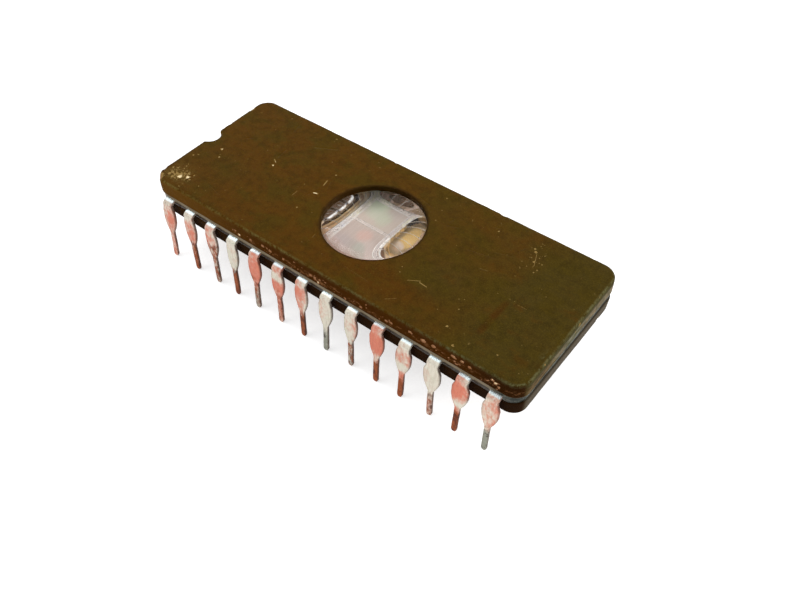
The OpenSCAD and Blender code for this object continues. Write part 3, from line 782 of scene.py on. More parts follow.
def lens_material():
    """Clear fused lens with a little dust and smearing on its upper face, and a painted grey-green reflection along its
    far rim. It lets the lamps through.
    """
    m = Nodes("lens_clear")
    g = m.t.nodes.new("ShaderNodeBsdfGlass")
    g.inputs["IOR"].default_value = 1.46
    g.inputs["Color"].default_value = (0.985, 0.985, 0.98, 1)
    smear_and_reflection = m.noise(1.1, 4, 0.6)
    x, y, z = m.sep()
    rx, ry = m.math("SUBTRACT", x, float(WX)), m.math("SUBTRACT", y, float(WY))
    rr = m.math("SQRT", m.math("ADD", m.math("MULTIPLY", rx, rx), m.math("MULTIPLY", ry, ry)))
    m.link(m.math("ADD", m.map(smear_and_reflection, 0.35, 0.75, 0.0, 0.035), m.map(rr, 3.95, 4.24, 0.0, 0.22)), g.inputs["Roughness"])
    m.link(m.bump(m.noise(0.9, 2, 0.5), 0.05, 0.05), g.inputs["Normal"])
    dust = m.t.nodes.new("ShaderNodeBsdfDiffuse")
    top = m.map(z, Z_LENS + 0.6, Z_LENS + 0.7)
    specks = m.map(m.voronoi(2.4), 0.055, 0.02)
    haze_and_reflection = m.map(m.noise(0.8, 4, 0.6), 0.35, 0.75, 0.002, 0.014)
    nearby = m.math("SUBTRACT", m.math("MULTIPLY", rx, 0.62), m.math("MULTIPLY", ry, 0.78))
    arc = m.math("MULTIPLY", m.map(rr, 3.86, 3.98), m.map(nearby, 0.2, 1.6))
    arc = m.math("MULTIPLY", arc, m.map(m.noise(1.6, 3, 0.6), 0.3, 0.6, 0.20, 0.45))
    haze_and_reflection = m.math("ADD", haze_and_reflection, arc)
    # a browner stain over the near left edge
    stain = m.math("MULTIPLY", m.map(m.math("SUBTRACT", rr, m.map(m.noise(1.2, 3, 0.6, m.mapping(loc=(2, 4, 0))), 0.3, 0.7, -0.15, 0.15)), 3.10, 3.95), m.map(ry, -2.0, -3.2))
    stain = m.math("MULTIPLY", stain, m.map(rx, 2.4, 0.8))
    haze_and_reflection = m.math("ADD", haze_and_reflection, m.math("MULTIPLY", stain, 0.36))
    # painted reflection: a grey-green ring along the far rim
    ring = m.math("MULTIPLY", m.map(rr, 4.04, 4.13), m.map(nearby, 0.0, -1.0))
    ring = m.math("MULTIPLY", ring, m.map(m.noise(1.3, 3, 0.6, m.mapping(loc=(6, 1, 0))), 0.4, 0.6, 0.15, 1.0))
    haze_and_reflection = m.math("ADD", haze_and_reflection, m.math("MULTIPLY", ring, 0.22))
    m.link(m.mix(ring, m.mix(stain, (0.84, 0.56, 0.47), (0.44, 0.245, 0.170)), (0.44, 0.36, 0.23)), dust.inputs["Color"])
    amount = m.math("MULTIPLY", top, m.math("ADD", haze_and_reflection, m.math("MULTIPLY", specks, 0.25)), True)
    mix = m.t.nodes.new("ShaderNodeMixShader")
    through = m.t.nodes.new("ShaderNodeBsdfRefraction")
    through.inputs["IOR"].default_value = 1.46
    through.inputs["Color"].default_value = (0.97, 0.965, 0.955, 1)
    m.link(g.inputs["Roughness"].links[0].from_socket, through.inputs["Roughness"])
    m.link(g.inputs["Normal"].links[0].from_socket, through.inputs["Normal"])
    body = m.t.nodes.new("ShaderNodeMixShader")
    body.inputs[0].default_value = 0.35
    m.link(through.outputs[0], body.inputs[1])
    m.link(g.outputs[0], body.inputs[2])
    m.link(amount, mix.inputs[0])
    m.link(body.outputs[0], mix.inputs[1])
    m.link(dust.outputs[0], mix.inputs[2])
    tr = m.t.nodes.new("ShaderNodeBsdfTransparent")
    tr.inputs["Color"].default_value = (0.93, 0.93, 0.925, 1)
    lp = m.t.nodes.new("ShaderNodeLightPath")
    mix2 = m.t.nodes.new("ShaderNodeMixShader")
    m.link(lp.outputs["Is Shadow Ray"], mix2.inputs[0])
    m.link(mix.outputs[0], mix2.inputs[1])
    m.link(tr.outputs[0], mix2.inputs[2])
    m.link(mix2.outputs[0], m.out.inputs["Surface"])
    return m.mat


MAT_LID = ceramic_material("ceramic_lid_fired", 0.05)
MAT_WALL = ceramic_material("ceramic_lid_walls", 0.004)
MAT_BASE = ceramic_material("ceramic_base_fired", 0.004)
MAT_SEAL = glass_seal_material()
MAT_LEAD = lead_material()
MAT_GOLD = gold_material()
MAT_PASTE = paste_material()
MAT_CELLS = die_array_material()
MAT_BORDER = die_logic_material()
MAT_SIDE = die_side_material()
MAT_PAD = aluminium_material("aluminium_pad", (0.93, 0.885, 0.86), 0.25, 0.3)
MAT_WIRE = aluminium_material("aluminium_wire", (0.66, 0.60, 0.54), 0.26)
MAT_LENS = lens_material()


# ---------------------------------------------------------------------------
# Wear marks on the lid's top face: pits, scratches and dark marks, in millimetres
# ---------------------------------------------------------------------------

# x, y, radius, strength
PITS = [(-16.39, -5.59, 0.24, 1.0), (-15.78, -5.27, 0.2, 1.0), (-16.07, -4.86, 0.13, 0.45), (-15.5, -4.8, 0.1, 0.4),
        (-17.38, -5.79, 0.14, 0.55), (-16.9, -5.97, 0.16, 0.6), (-15.1, -6.2, 0.1, 0.15), (-15.5, -6.55, 0.14, 0.35),
        (-17.3, -2.64, 0.12, 0.28), (-17.6, -2.95, 0.1, 0.45), (-16.2, -0.9, 0.14, 0.8), (-15.6, -1.8, 0.1, 0.65),
        (-15.8, -1.5, 0.06, 0.45), (-11.11, 0.2, 0.12, 0.8), (-14.3, 6.05, 0.13, 0.24), (-9.1, 6.2, 0.12, 0.28),
        (-4.15, 5.95, 0.1, 0.2), (-3.65, 5.5, 0.13, 0.24), (-5.95, 2.45, 0.09, 0.6), (-5.87, -2.5, 0.09, 0.45),
        (-4.5, -2.2, 0.08, 0.25), (-4.7, -2.0, 0.06, 0.18), (-7.55, -0.55, 0.06, 0.18),
        (4.0, 3.05, 0.1, 0.25), (8.7, 5.0, 0.11, 0.35), (3.2, 5.7, 0.09, 0.35),
        (12.2, 4.8, 0.15, 0.42), (12.0, 5.05, 0.12, 0.4), (11.7, 5.05, 0.1, 0.22), (12.65, 3.8, 0.12, 0.42),
        (13.3, 3.2, 0.11, 0.26), (13.2, 2.85, 0.09, 0.32), (12.15, 4.05, 0.09, 0.2), (12.8, 4.4, 0.08, 0.2),
        (13.3, 3.9, 0.07, 0.45), (13.0, 4.8, 0.06, 0.15), (5.0, -2.6, 0.08, 0.27), (5.2, -3.15, 0.06, 0.4),
        (10.3, -2.7, 0.1, 0.22), (10.85, -3.5, 0.1, 0.28), (11.1, -5.3, 0.12, 0.45), (10.9, -6.05, 0.1, 0.18),
        (11.9, -5.6, 0.07, 0.15), (13.25, -0.45, 0.1, 0.2), (15.35, -5.3, 0.11, 0.28), (17.35, -5.75, 0.1, 0.22),
        (17.85, -5.4, 0.1, 0.2), (12.4, -6.5, 0.16, 0.4), (18.0, -3.55, 0.1, 0.15), (17.9, 3.7, 0.1, 0.2)]
# x0, y0, x1, y1, half width, strength
SCRATCHES = [(-11.45, 0.8, -11.2, 0.62, 0.035, 0.7), (-5.93, 0.85, -6.05, 1.4, 0.045, 0.45),
             (-5.98, -0.36, -5.72, -0.27, 0.06, 0.9), (-7.2, -1.65, -7.2, -1.05, 0.03, 0.4),
             (-2.54, -4.35, -2.6, -3.95, 0.04, 0.2), (9.75, 0.8, 10.4, 0.9, 0.035, 0.2),
             (6.2, -3.45, 6.95, -3.0, 0.03, 0.5), (7.05, -3.12, 7.65, -3.18, 0.045, 0.35),
             (6.0, -5.95, 6.6, -5.4, 0.03, 0.3), (14.0, -0.6, 14.7, -0.58, 0.04, 0.2),
             (12.4, 4.6, 12.9, 3.4, 0.03, 0.35), (-16.2, -5.0, -15.75, -5.2, 0.06, 0.3), (1.5, -5.2, 3.9, -5.35, 0.022, 0.22),
             (-9.8, 4.2, -8.1, 5.1, 0.02, 0.25), (7.9, 1.9, 9.9, 2.3, 0.02, 0.2), (-13.6, -4.9, -11.9, -5.25, 0.02, 0.22)]
DARK_LINES = [(13.15, -4.45, 13.3, -0.85, 0.2, 0.2), (13.3, -2.2, 13.34, -1.6, 0.2, 0.2)]

rnd = random.Random(27)
for _ in range(120):            # the crushed near-left corner
    a, q = rnd.uniform(0, 2 * math.pi), abs(rnd.gauss(0, 1.0))
    cx, cy = -16.75 + 0.95 * q * math.cos(a), -5.45 + 0.62 * q * math.sin(a)
    if cx > -18.1 and cy > -6.7:
        PITS.append((cx, cy, rnd.uniform(0.03, 0.1), rnd.uniform(0.25, 0.62)))
for _ in range(26):             # around the speckled place at the far end
    PITS.append((12.6 + rnd.gauss(0, 0.45), 4.1 + rnd.gauss(0, 0.75), rnd.uniform(0.03, 0.06), rnd.uniform(0.2, 0.45)))
for _ in range(150):            # fine specks all over
    PITS.append((rnd.uniform(-17.7, 17.7), rnd.uniform(-6.3, 6.3), rnd.uniform(0.02, 0.05), rnd.uniform(0.15, 0.42)))
for _ in range(14):
    cx, cy, a = rnd.uniform(-16, 16), rnd.uniform(-6, 6), rnd.uniform(0, math.pi)
    ln = rnd.uniform(0.3, 1.4)
    SCRATCHES.append((cx, cy, cx + ln * math.cos(a), cy + ln * math.sin(a), 0.018, rnd.uniform(0.1, 0.24)))
PITS, SCRATCHES = np.array(PITS), np.array(SCRATCHES)


def top_marks(XY):
    """Chip and dark values and the sink in millimetres at points of the lid's top face."""
    chip, dirt_and_shade, sink = np.zeros(len(XY)), np.zeros(len(XY)), np.zeros(len(XY))
    for cx, cy, r, s in PITS:
        m = (abs(XY[:, 0] - cx) < 1.4 * r) & (abs(XY[:, 1] - cy) < 1.4 * r)
        if not m.any():
            continue
        q = XY[m] - (cx, cy)
        d = np.hypot(q[:, 0], q[:, 1]) / r
        d *= 1 + 0.25 * np.sin(3 * np.arctan2(q[:, 1], q[:, 0]) + 5 * cx)
        f = 1 - smooth(0.45, 1.15, d)
        chip[m] = np.maximum(chip[m], s * f)
        sink[m] = np.maximum(sink[m], 0.22 * r * f)
    for x0, y0, x1, y1, w, s in SCRATCHES:
        d, _ = to_line(XY, x0, y0, x1, y1)
        f = 1 - smooth(0.5 * w, 1.25 * w, d)
        chip = np.maximum(chip, s * f)
        sink = np.maximum(sink, 0.012 * f)
    for x0, y0, x1, y1, w, s in DARK_LINES:
        d, _ = to_line(XY, x0, y0, x1, y1)
        dirt_and_shade = np.maximum(dirt_and_shade, s * (1 - smooth(0.3 * w, 1.6 * w, d)))
    return chip, dirt_and_shade, sink


def to_line(XY, x0, y0, x1, y1):
    a, b = np.array([x0, y0]), np.array([x1, y1])
    t = np.clip(((XY - a) @ (b - a)) / max(1e-9, (b - a) @ (b - a)), 0, 1)
    return np.linalg.norm(XY - (a + t[:, None] * (b - a)), axis=1), t


def mark_points():
    out = []
    for cx, cy, r, s in PITS:
        out.append((cx, cy))
        for k, rr, off in ((5, 0.5, 0.3), (8, 0.95, 0.0), (8, 1.35, 0.4)):
            if r < 0.045 and rr == 0.5:
                continue
            for i in range(k):
                a = 2 * math.pi * (i + off) / k
                out.append((cx + rr * r * math.cos(a), cy + rr * r * math.sin(a)))
    for x0, y0, x1, y1, w, s in SCRATCHES:
        ln = math.hypot(x1 - x0, y1 - y0)
        n = max(2, int(ln / 0.12))
        nx, ny = -(y1 - y0) / ln, (x1 - x0) / ln
        for i in range(n + 1):
            px, py = x0 + (x1 - x0) * i / n, y0 + (y1 - y0) * i / n
            for o in (-1.3, -0.6, 0, 0.6, 1.3):
                out.append((px + nx * o * w, py + ny * o * w))
    return np.array(out)


# chips on the walls and upper edges: x, y, z, radius, depth, strength
rnd = random.Random(5)
ZW = Z_TOP - 1.725
CHIPS = [(-8.25, -LY, ZW + 0.62, 0.16, 0.05, 0.9), (6.85, -LY, ZW + 0.77, 0.17, 0.04, 0.55), (9.05, -LY, ZW + 1.05, 0.2, 0.05, 0.6),
         (10.2, -LY, ZW + 0.98, 0.24, 0.06, 0.65), (11.1, -LY, ZW + 1.0, 0.2, 0.05, 0.6), (12.8, -LY, ZW + 1.2, 0.2, 0.05, 0.65),
         (13.55, -LY, ZW + 1.2, 0.2, 0.05, 0.65), (14.2, -LY, ZW + 1.05, 0.18, 0.05, 0.55), (16.05, -LY, ZW + 1.15, 0.16, 0.06, 0.9),
         (16.3, -LY, ZW + 0.98, 0.17, 0.06, 1.0), (16.6, -LY, ZW + 0.75, 0.14, 0.05, 0.85), (-0.55, -LY, ZW + 0.85, 0.2, 0.06, 0.55),
         (0.2, -LY, ZW + 0.5, 0.15, 0.05, 0.95), (-0.1, -LY, ZW + 0.75, 0.15, 0.05, 0.6), (-5.6, -LY, ZW + 0.95, 0.18, 0.05, 0.6),
         (-4.8, -LY, ZW + 0.8, 0.18, 0.05, 0.6), (-6.95, -LY, ZW + 0.8, 0.18, 0.05, 0.5), (2.9, -LY, ZW + 0.5, 0.14, 0.04, 0.5),
         (4.4, -LY, ZW + 0.6, 0.16, 0.05, 0.5), (-17.9, -6.5, Z_TOP - 0.1, 0.5, 0.08, 0.45), (-18.3, -5.6, Z_TOP - 0.2, 0.3, 0.06, 0.4),
         (-18.35, 4.9, Z_TOP - 0.05, 0.35, 0.04, 0.5), (-18.38, 2.2, Z_TOP - 0.1, 0.2, 0.04, 0.4), (18.36, -3.6, Z_TOP - 0.05, 0.3, 0.05, 0.14),
         (18.36, 3.7, Z_TOP - 0.1, 0.18, 0.05, 0.2), (18.36, 0.8, Z_TOP - 0.4, 0.2, 0.05, 0.35), (14.9, -LY, Z_TOP - 0.02, 0.25, 0.04, 0.18),
         (8.0, LY, Z_TOP - 0.1, 0.3, 0.06, 0.4), (-3.0, LY, Z_TOP - 0.15, 0.22, 0.05, 0.4), (15.5, LY, Z_TOP - 0.4, 0.25, 0.06, 0.45)]
for _ in range(70):
    u = rnd.uniform(-9, 17.2)
    CHIPS.append((u, -LY, ZW + rnd.gauss(0.85, 0.22), rnd.uniform(0.05, 0.13), 0.03, rnd.uniform(0.25, 0.6)))
for _ in range(40):
    CHIPS.append((rnd.uniform(-17, 17), LY, ZW + rnd.gauss(0.9, 0.3), rnd.uniform(0.05, 0.15), 0.03, rnd.uniform(0.25, 0.55)))
for _ in range(24):
    CHIPS.append((rnd.choice((-1, 1)) * LX, rnd.uniform(-6, 6), ZW + rnd.gauss(0.95, 0.35), rnd.uniform(0.05, 0.14), 0.03, rnd.uniform(0.25, 0.5)))


def wall_chips(P, N3):
    """Dents the walls and edges at CHIPS. Returns moved points and the chip values."""
    chip = np.zeros(len(P))
    deep = np.zeros(len(P))
    for cx, cy, cz, r, d, s in CHIPS:
        q = P - (cx, cy, cz)
        m = (np.abs(q) < 1.5 * r).all(1)
        if not m.any():
            continue
        qq = q[m]
        dist = np.linalg.norm(qq * (1, 1, 1.15), axis=1) / r
        wob = fbm(qq + (cx, cy, cz), 5.0, 3.0, 2)
        f = 1 - smooth(0.5, 1.15, dist * (1 + 0.35 * wob))
        chip[m] = np.maximum(chip[m], s * f)
        deep[m] = np.maximum(deep[m], d * f)
    return P - N3 * deep[:, None], chip


# ---------------------------------------------------------------------------
# Lid
# ---------------------------------------------------------------------------


def build_lid():
    b = Build()
    P, N = outline(-LX, LX, LY, 1.3, 0.12, (0.9, 0.7))
    e = 0.27
    prof = [(0.42, Z_LID, 0), (0.085, Z_LID, 0), (0.03, Z_LID + 0.028, 0), (0.0, Z_LID + 0.085, 0)]
    zs = np.linspace(Z_LID + 0.085, Z_TOP - e, 11)[1:]
    prof += [(0.0, z, 0) for z in zs]
    for i in range(1, 8):
        a = math.pi / 2 * i / 7
        prof.append((e * (1 - math.cos(a)) ** 1.0, Z_TOP - e * (1 - math.sin(a)), a))
    prof.append((e + 0.1, Z_TOP, math.pi / 2))
    rows, nrm, ring_of = [], [], []
    for k, (d, z, a) in enumerate(prof):
        rows.append(b.add(xyz(P - N * d, z)))
        nrm.append(np.column_stack([N * math.cos(a), np.full(len(P), math.sin(a))]))
        ring_of.append(np.full(len(P), k))
    b.lofts(rows)
    n_wall = b.n
    wall_faces = len(P) * (len(prof) - 4)
    # window hole with a small rounded rim, down to the relief under the lid
    n = 224
    hole = []
    hr = LENS_R
    hprof = [(hr + 0.07, Z_TOP), (hr + 0.045, Z_TOP - 0.004), (hr + 0.018, Z_TOP - 0.02), (hr + 0.004, Z_TOP - 0.05), (hr, Z_TOP - 0.09)]
    hprof += [(hr, z) for z in np.linspace(Z_TOP - 0.2, Z_LENS + 0.05, 7)]
    hprof += [(hr + 0.02, Z_LENS)]
    for r, z in hprof:
        C, _ = circle_loop(WX, WY, r, n)
        hole.append(b.add(xyz(C, z)))
    b.lofts(hole[::-1])
    marks = mark_points()
    fill(b, rows[-1], [hole[0]], Z_TOP, 0.2, marks, 3)
    top_ids = (hole[-1][-1] + 1, b.n)
    # underside: relief ceiling, its walls, and the flat sealing face
    R0, NR = outline(-RELIEF[0], RELIEF[0], RELIEF[1], 0.6, 0.25)
    ceil = b.add(xyz(R0, Z_LENS))
    low = b.add(xyz(R0, Z_LID))
    fill(b, ceil, [hole[-1]], Z_LENS, 0.5, None, 4)
    b.loft(ceil, low)
    fill(b, rows[0], [low], Z_LID, 0.8, None, 5)
    V = b.points()
    chip = np.zeros(len(V))
    dirt_and_shade = np.zeros(len(V))
    side = np.zeros(len(V))
    end = np.zeros(len(V))
    wear_and_sheen = np.zeros(len(V))
    # walls: wobble of the pressed body, then chips
    W = V[:n_wall]
    N3 = np.concatenate(nrm)
    W = W + N3 * (0.012 * fbm(W, 0.9, 4.0, 3) + 0.006 * fbm(W, 4.0, 1.0, 2))[:, None] - N3 * 0.012
    W, chip[:n_wall] = wall_chips(W, N3)
    W[:, 0] = np.clip(W[:, 0], -LX, LX)
    W[:, 1] = np.clip(W[:, 1], -LY, LY)
    keep_top = np.arange(n_wall) >= n_wall - len(P)
    W[keep_top, 2] = Z_TOP
    V[:n_wall] = W
    ring = np.concatenate(ring_of)
    wallish = 1 - smooth(Z_TOP - 0.20, Z_TOP - 0.05, V[:n_wall, 2])
    facing_end = smooth(0.86, 1.0, N3[:, 0] / np.maximum(np.hypot(N3[:, 0], N3[:, 1]), 1e-6)) * wallish
    side[:n_wall] = wallish * (1 - facing_end)
    end[:n_wall] = facing_end
    # line of rubbing wear along the upper edge, with a painted highlight, strongest at the far end and the front
    inset = np.array([q[0] for q in prof])[ring]
    edge_line = np.exp(-((inset - 0.10) / 0.075) ** 2) * (V[:n_wall, 2] > Z_TOP - 0.3)
    along = np.clip(0.52 + 0.45 * fbm(V[:n_wall] * (1, 1, 0), 0.35, 9.0, 3) + 0.30 * (N3[:, 0] > 0.3) + 0.10 * (N3[:, 1] < -0.3), 0, 1)
    Q = V[:n_wall]
    more = 0.5 * np.exp(-((Q[:, 0] + 15.3) / 1.3) ** 2) * (Q[:, 1] < -6) + 0.5 * np.exp(-((Q[:, 1] - 4.9) / 0.9) ** 2) * (Q[:, 0] > 17.8)
    more += 0.5 * np.exp(-(((Q[:, 0] - 17.8) / 1.0) ** 2 + ((Q[:, 1] + 6.2) / 1.0) ** 2)) + 0.5 * np.exp(-((Q[:, 1] + 3.4) / 0.5) ** 2) * (Q[:, 0] > 17.8)
    wear_and_sheen[:n_wall] = edge_line * np.clip(along + more, 0, 1.2)
    # top face
    T = np.arange(*top_ids)
    XY = V[T, :2]
    c, d, sink = top_marks(XY)
    chip[T], dirt_and_shade[T] = c, d
    wave = 0.010 * fbm(V[T], 0.35, 2.0, 2) + 0.0035 * fbm(V[T], 2.2, 6.0, 2)
    edge_gap = np.minimum(LX - abs(XY[:, 0]), LY - abs(XY[:, 1]))
    hole_gap = np.hypot(XY[:, 0] - WX, XY[:, 1] - WY) - LENS_R
    ease = smooth(0.3, 1.1, edge_gap) * smooth(0.0, 0.6, hole_gap)
    V[T, 2] = Z_TOP - 0.004 - np.abs(wave) * ease - sink
    wear_and_sheen[T] = 0.10 * (1 - smooth(0.3, 0.8, edge_gap + 0.2 * fbm(V[T], 0.5, 1.0, 2)))
    near_corner = np.exp(-(((XY[:, 0] + 16.9) / 1.5) ** 2 + ((XY[:, 1] + 5.5) / 1.1) ** 2))
    wear_and_sheen[T] = np.maximum(wear_and_sheen[T], 0.6 * near_corner)
    end_patch = np.exp(-(((XY[:, 0] - 18.0) / 0.22) ** 2 + ((XY[:, 1] + 3.4) / 0.5) ** 2))
    wear_and_sheen[T] = np.maximum(wear_and_sheen[T], 0.5 * end_patch)
    hole_ids = np.concatenate(hole)
    # painted shade in the window hole's wall
    dirt_and_shade[hole_ids] = 0.7
    return make("lid", V, b.f, (MAT_LID, MAT_WALL), ["ceramic_lid"],
                {"chip": chip, "dirt_and_shade": dirt_and_shade, "side": side, "end": end, "wear_and_sheen": wear_and_sheen}, 38, np.arange(len(b.f)) < wall_faces)


# ---------------------------------------------------------------------------
# Base with the die cavity
# ---------------------------------------------------------------------------


def build_base():
    b = Build()
    x0, x1, hy = BASE_LO[0], BASE_HI[0], BASE_HI[1]
    P, N = outline(x0, x1, hy, 1.3, 0.14, (0.9 - 0.05, 0.5))
    dr = 0.1
    prof = [(0.45, Z_BASE, -1.57), (0.30, Z_BASE + 0.002, -1.4), (0.23, Z_BASE + 0.022, -1.1), (0.17, Z_BASE + 0.06, -0.8), (0.125, Z_BASE + 0.12, -0.5),
            (0.098, Z_BASE + 0.19, -0.2)]
    for z in np.linspace(Z_BASE + 0.30, Z_GLASS - 0.09, 8):
        prof.append((dr * (1 - (z - Z_BASE) / (Z_GLASS - Z_BASE)), z, 0))
    prof += [(0.012, Z_GLASS - 0.035, 0.4), (0.05, Z_GLASS, 1.2), (0.3, Z_GLASS, 1.57)]
    rows, nrm = [], []
    for d, z, a in prof:
        rows.append(b.add(xyz(P - N * d, z)))
        nrm.append(np.column_stack([N * math.cos(a), np.full(len(P), math.sin(a))]))
    b.lofts(rows)
    n_wall = b.n
    bottom = fill(b, rows[0], [], Z_BASE, 0.3, None, 7)
    C0, _ = outline(-CAV[0], CAV[0], CAV[1], 0.4, 0.15)
    rim = [b.add(xyz(C0, Z_GLASS)), b.add(xyz(C0, Z_GLASS - 0.1)), b.add(xyz(C0, Z_GLASS - 0.22)), b.add(xyz(C0, Z_FLOOR))]
    f0 = len(b.f)
    b.lofts(rim)
    f1 = len(b.f)
    fill(b, rows[-1], [rim[0]], Z_GLASS, 0.9, None, 8)
    f2 = len(b.f)
    fill(b, rim[-1], [], Z_FLOOR, 0.8, None, 9)
    face = np.arange(len(b.f))
    V = b.points()
    N3 = np.concatenate(nrm)
    W = V[:n_wall]
    W = W + N3 * (0.012 * fbm(W, 0.8, 14.0, 3) - 0.012)[:, None]
    ch = [(16.5, -hy, Z_BASE + 0.25, 0.25, 0.06, 0.4), (-12, -hy, Z_BASE + 0.2, 0.2, 0.05, 0.35), (x1, 4.5, Z_BASE + 0.2, 0.3, 0.06, 0.4),
          (x0, -3.0, Z_BASE + 0.25, 0.22, 0.05, 0.35), (3.0, hy, Z_BASE + 0.2, 0.25, 0.05, 0.35)]
    chip = np.zeros(len(V))
    for cx, cy, cz, r, d, s in ch:
        q = np.linalg.norm(W - (cx, cy, cz), axis=1) / r
        f = 1 - smooth(0.4, 1.1, q)
        chip[:n_wall] = np.maximum(chip[:n_wall], s * f)
        W = W - N3 * (d * f)[:, None]
    W[:, 2] = np.clip(W[:, 2], Z_BASE, Z_GLASS)
    V[:n_wall] = W
    V[bottom, 2] = Z_BASE + 0.003 + 0.006 * np.abs(fbm(V[bottom], 0.5, 3.0, 3))
    side, end, wear_and_sheen, dirt_and_shade = (np.zeros(len(V)) for _ in range(4))
    plan = np.tile(N[:, 0], len(prof))
    facing_end = smooth(0.86, 1.0, plan) * (N3[:, 2] > -0.7)
    side[:n_wall] = 1 - facing_end
    end[:n_wall] = facing_end
    side[bottom] = 0.55
    wear_and_sheen[:n_wall] = 0.3 * smooth(Z_BASE + 0.3, Z_BASE + 0.05, V[:n_wall, 2])
    # painted shade on the base's walls under the lid
    dirt_and_shade[:n_wall] = 0.85 * (1 - facing_end)
    dirt_and_shade[bottom] = 0.25 * smooth(-0.2, 0.4, fbm(V[bottom], 0.25, 5.0, 3))
    return make("base", V, b.f, (MAT_BASE, MAT_PASTE), ["ceramic_base"],
                {"chip": chip, "dirt_and_shade": dirt_and_shade, "side": side, "end": end, "wear_and_sheen": wear_and_sheen}, 38, ((face >= f0) & (face < f1)) | (face >= f2))


# ---------------------------------------------------------------------------
# Sealing glass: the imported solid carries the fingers, a bead closes the seam outside
# ---------------------------------------------------------------------------

PITCH = 2.54
LEAD_X = [-6.5 * PITCH + k * PITCH for k in range(14)]


def build_bead():
    b = Build()
    gx0, gx1, gy = GLASS_LO[0] - 0.05, GLASS_HI[0] + 0.14, GLASS_HI[1] + 0.03
    P, N = outline(gx0, gx1, gy, 1.2, 0.1, (0.9 + 0.02, 0.42))
    zs = np.linspace(Z_GLASS - 0.004, Z_LID + 0.004, 12)
    rows, nrm, frac = [], [], []
    rows.append(b.add(xyz(P - N * 0.28, zs[0])))
    for z in zs:
        rows.append(b.add(xyz(P, z)))
    rows.append(b.add(xyz(P - N * 0.28, zs[-1])))
    b.lofts(rows)
    b.loft(rows[-1], rows[0])
    V = b.points()
    n = len(P)
    for k in range(1, 13):
        s = slice(k * n, (k + 1) * n)
        W = V[s].copy()
        t = (k - 1) / 11
        belly = 0.045 * math.sin(math.pi * t) ** 0.7
        off = belly + 0.03 * fbm(W, 0.8, 21.0, 3) - 0.01
        for lx in LEAD_X:
            dx = np.maximum(np.abs(W[:, 0] - lx) - 0.5, 0)
            dz = np.maximum(np.abs(W[:, 2] - (Z_LEAD + LEAD_T / 2)) - LEAD_T / 2, 0)
            d = np.hypot(dx, dz)
            off = off + 0.085 * np.exp(-(d / 0.09) ** 2) * (np.abs(N[:, 1]) > 0.9)
        if k in (1, 12):
            off = off * 0.3
        W[:, :2] += N * off[:, None]
        W[:, 0] = np.clip(W[:, 0], BASE_LO[0] + 0.02, LX - 0.02)
        V[s] = W
    return make("glass_bead", V, b.f, MAT_SEAL)


# ---------------------------------------------------------------------------
# Leads
# ---------------------------------------------------------------------------

LEANS = [-0.10, 0.20, 0.29, 0.06, 0.00, 0.10, 0.05, -0.04, 0.00, 0.00, -0.14, 0.10, -0.12, 0.00,
         0.05, -0.08, 0.04, 0.00, 0.10, -0.06, 0.03, -0.10, 0.00, 0.07, -0.05, 0.12, -0.04, 0.02]
TIP_X, TIP_Y = -(CAV[0] + 0.02), -(CAV[1] + 0.02)
ROUTES = [[(LEAD_X[0], -7.2), (LEAD_X[0], -3.1), (-13.9, -0.54), (TIP_X, -0.54)],
          [(LEAD_X[1], -7.2), (LEAD_X[1], -4.1), (-11.5, -1.61), (TIP_X, -1.61)],
          [(LEAD_X[2], -7.2), (LEAD_X[2], -5.1), (-9.0, -2.69), (TIP_X, -2.69)],
          [(LEAD_X[3], -7.2), (LEAD_X[3], -6.0), (-6.7, -3.76), (TIP_X, -3.76)],
          [(LEAD_X[4], -7.2), (LEAD_X[4], -6.3), (-2.95, -5.0), (-2.95, TIP_Y)],
          [(LEAD_X[5], -7.2), (LEAD_X[5], -6.75), (-1.77, -5.6), (-1.77, TIP_Y)],
          [(LEAD_X[6], -7.2), (LEAD_X[6], -6.45), (-0.59, -5.7), (-0.59, TIP_Y)]]
ROUTE_W = [1.0, 0.92, 0.80, 0.84]
ROOT_W, BLADE_W, PIN_W = 1.0, 1.48, 0.47
BEND_R, ROW_HALF, SPLAY = 0.4, 7.4, math.radians(4.5)


def quarter(k):
    return k if k <= 7 else 15 - k if k <= 14 else k - 14 if k <= 21 else 29 - k


def half_width(s, blade=BLADE_W):
    if s < 0.45:
        return ROOT_W / 2
    if s < 1.25:
        return ROOT_W / 2 + (blade - ROOT_W) / 2 * (1 - math.cos(math.pi * (s - 0.45) / 0.8)) / 2
    if s < 1.8:
        return blade / 2
    if s < 3.3:
        return PIN_W / 2 + (blade - PIN_W) / 2 * math.cos(math.pi / 2 * (s - 1.8) / 1.5)
    return PIN_W / 2


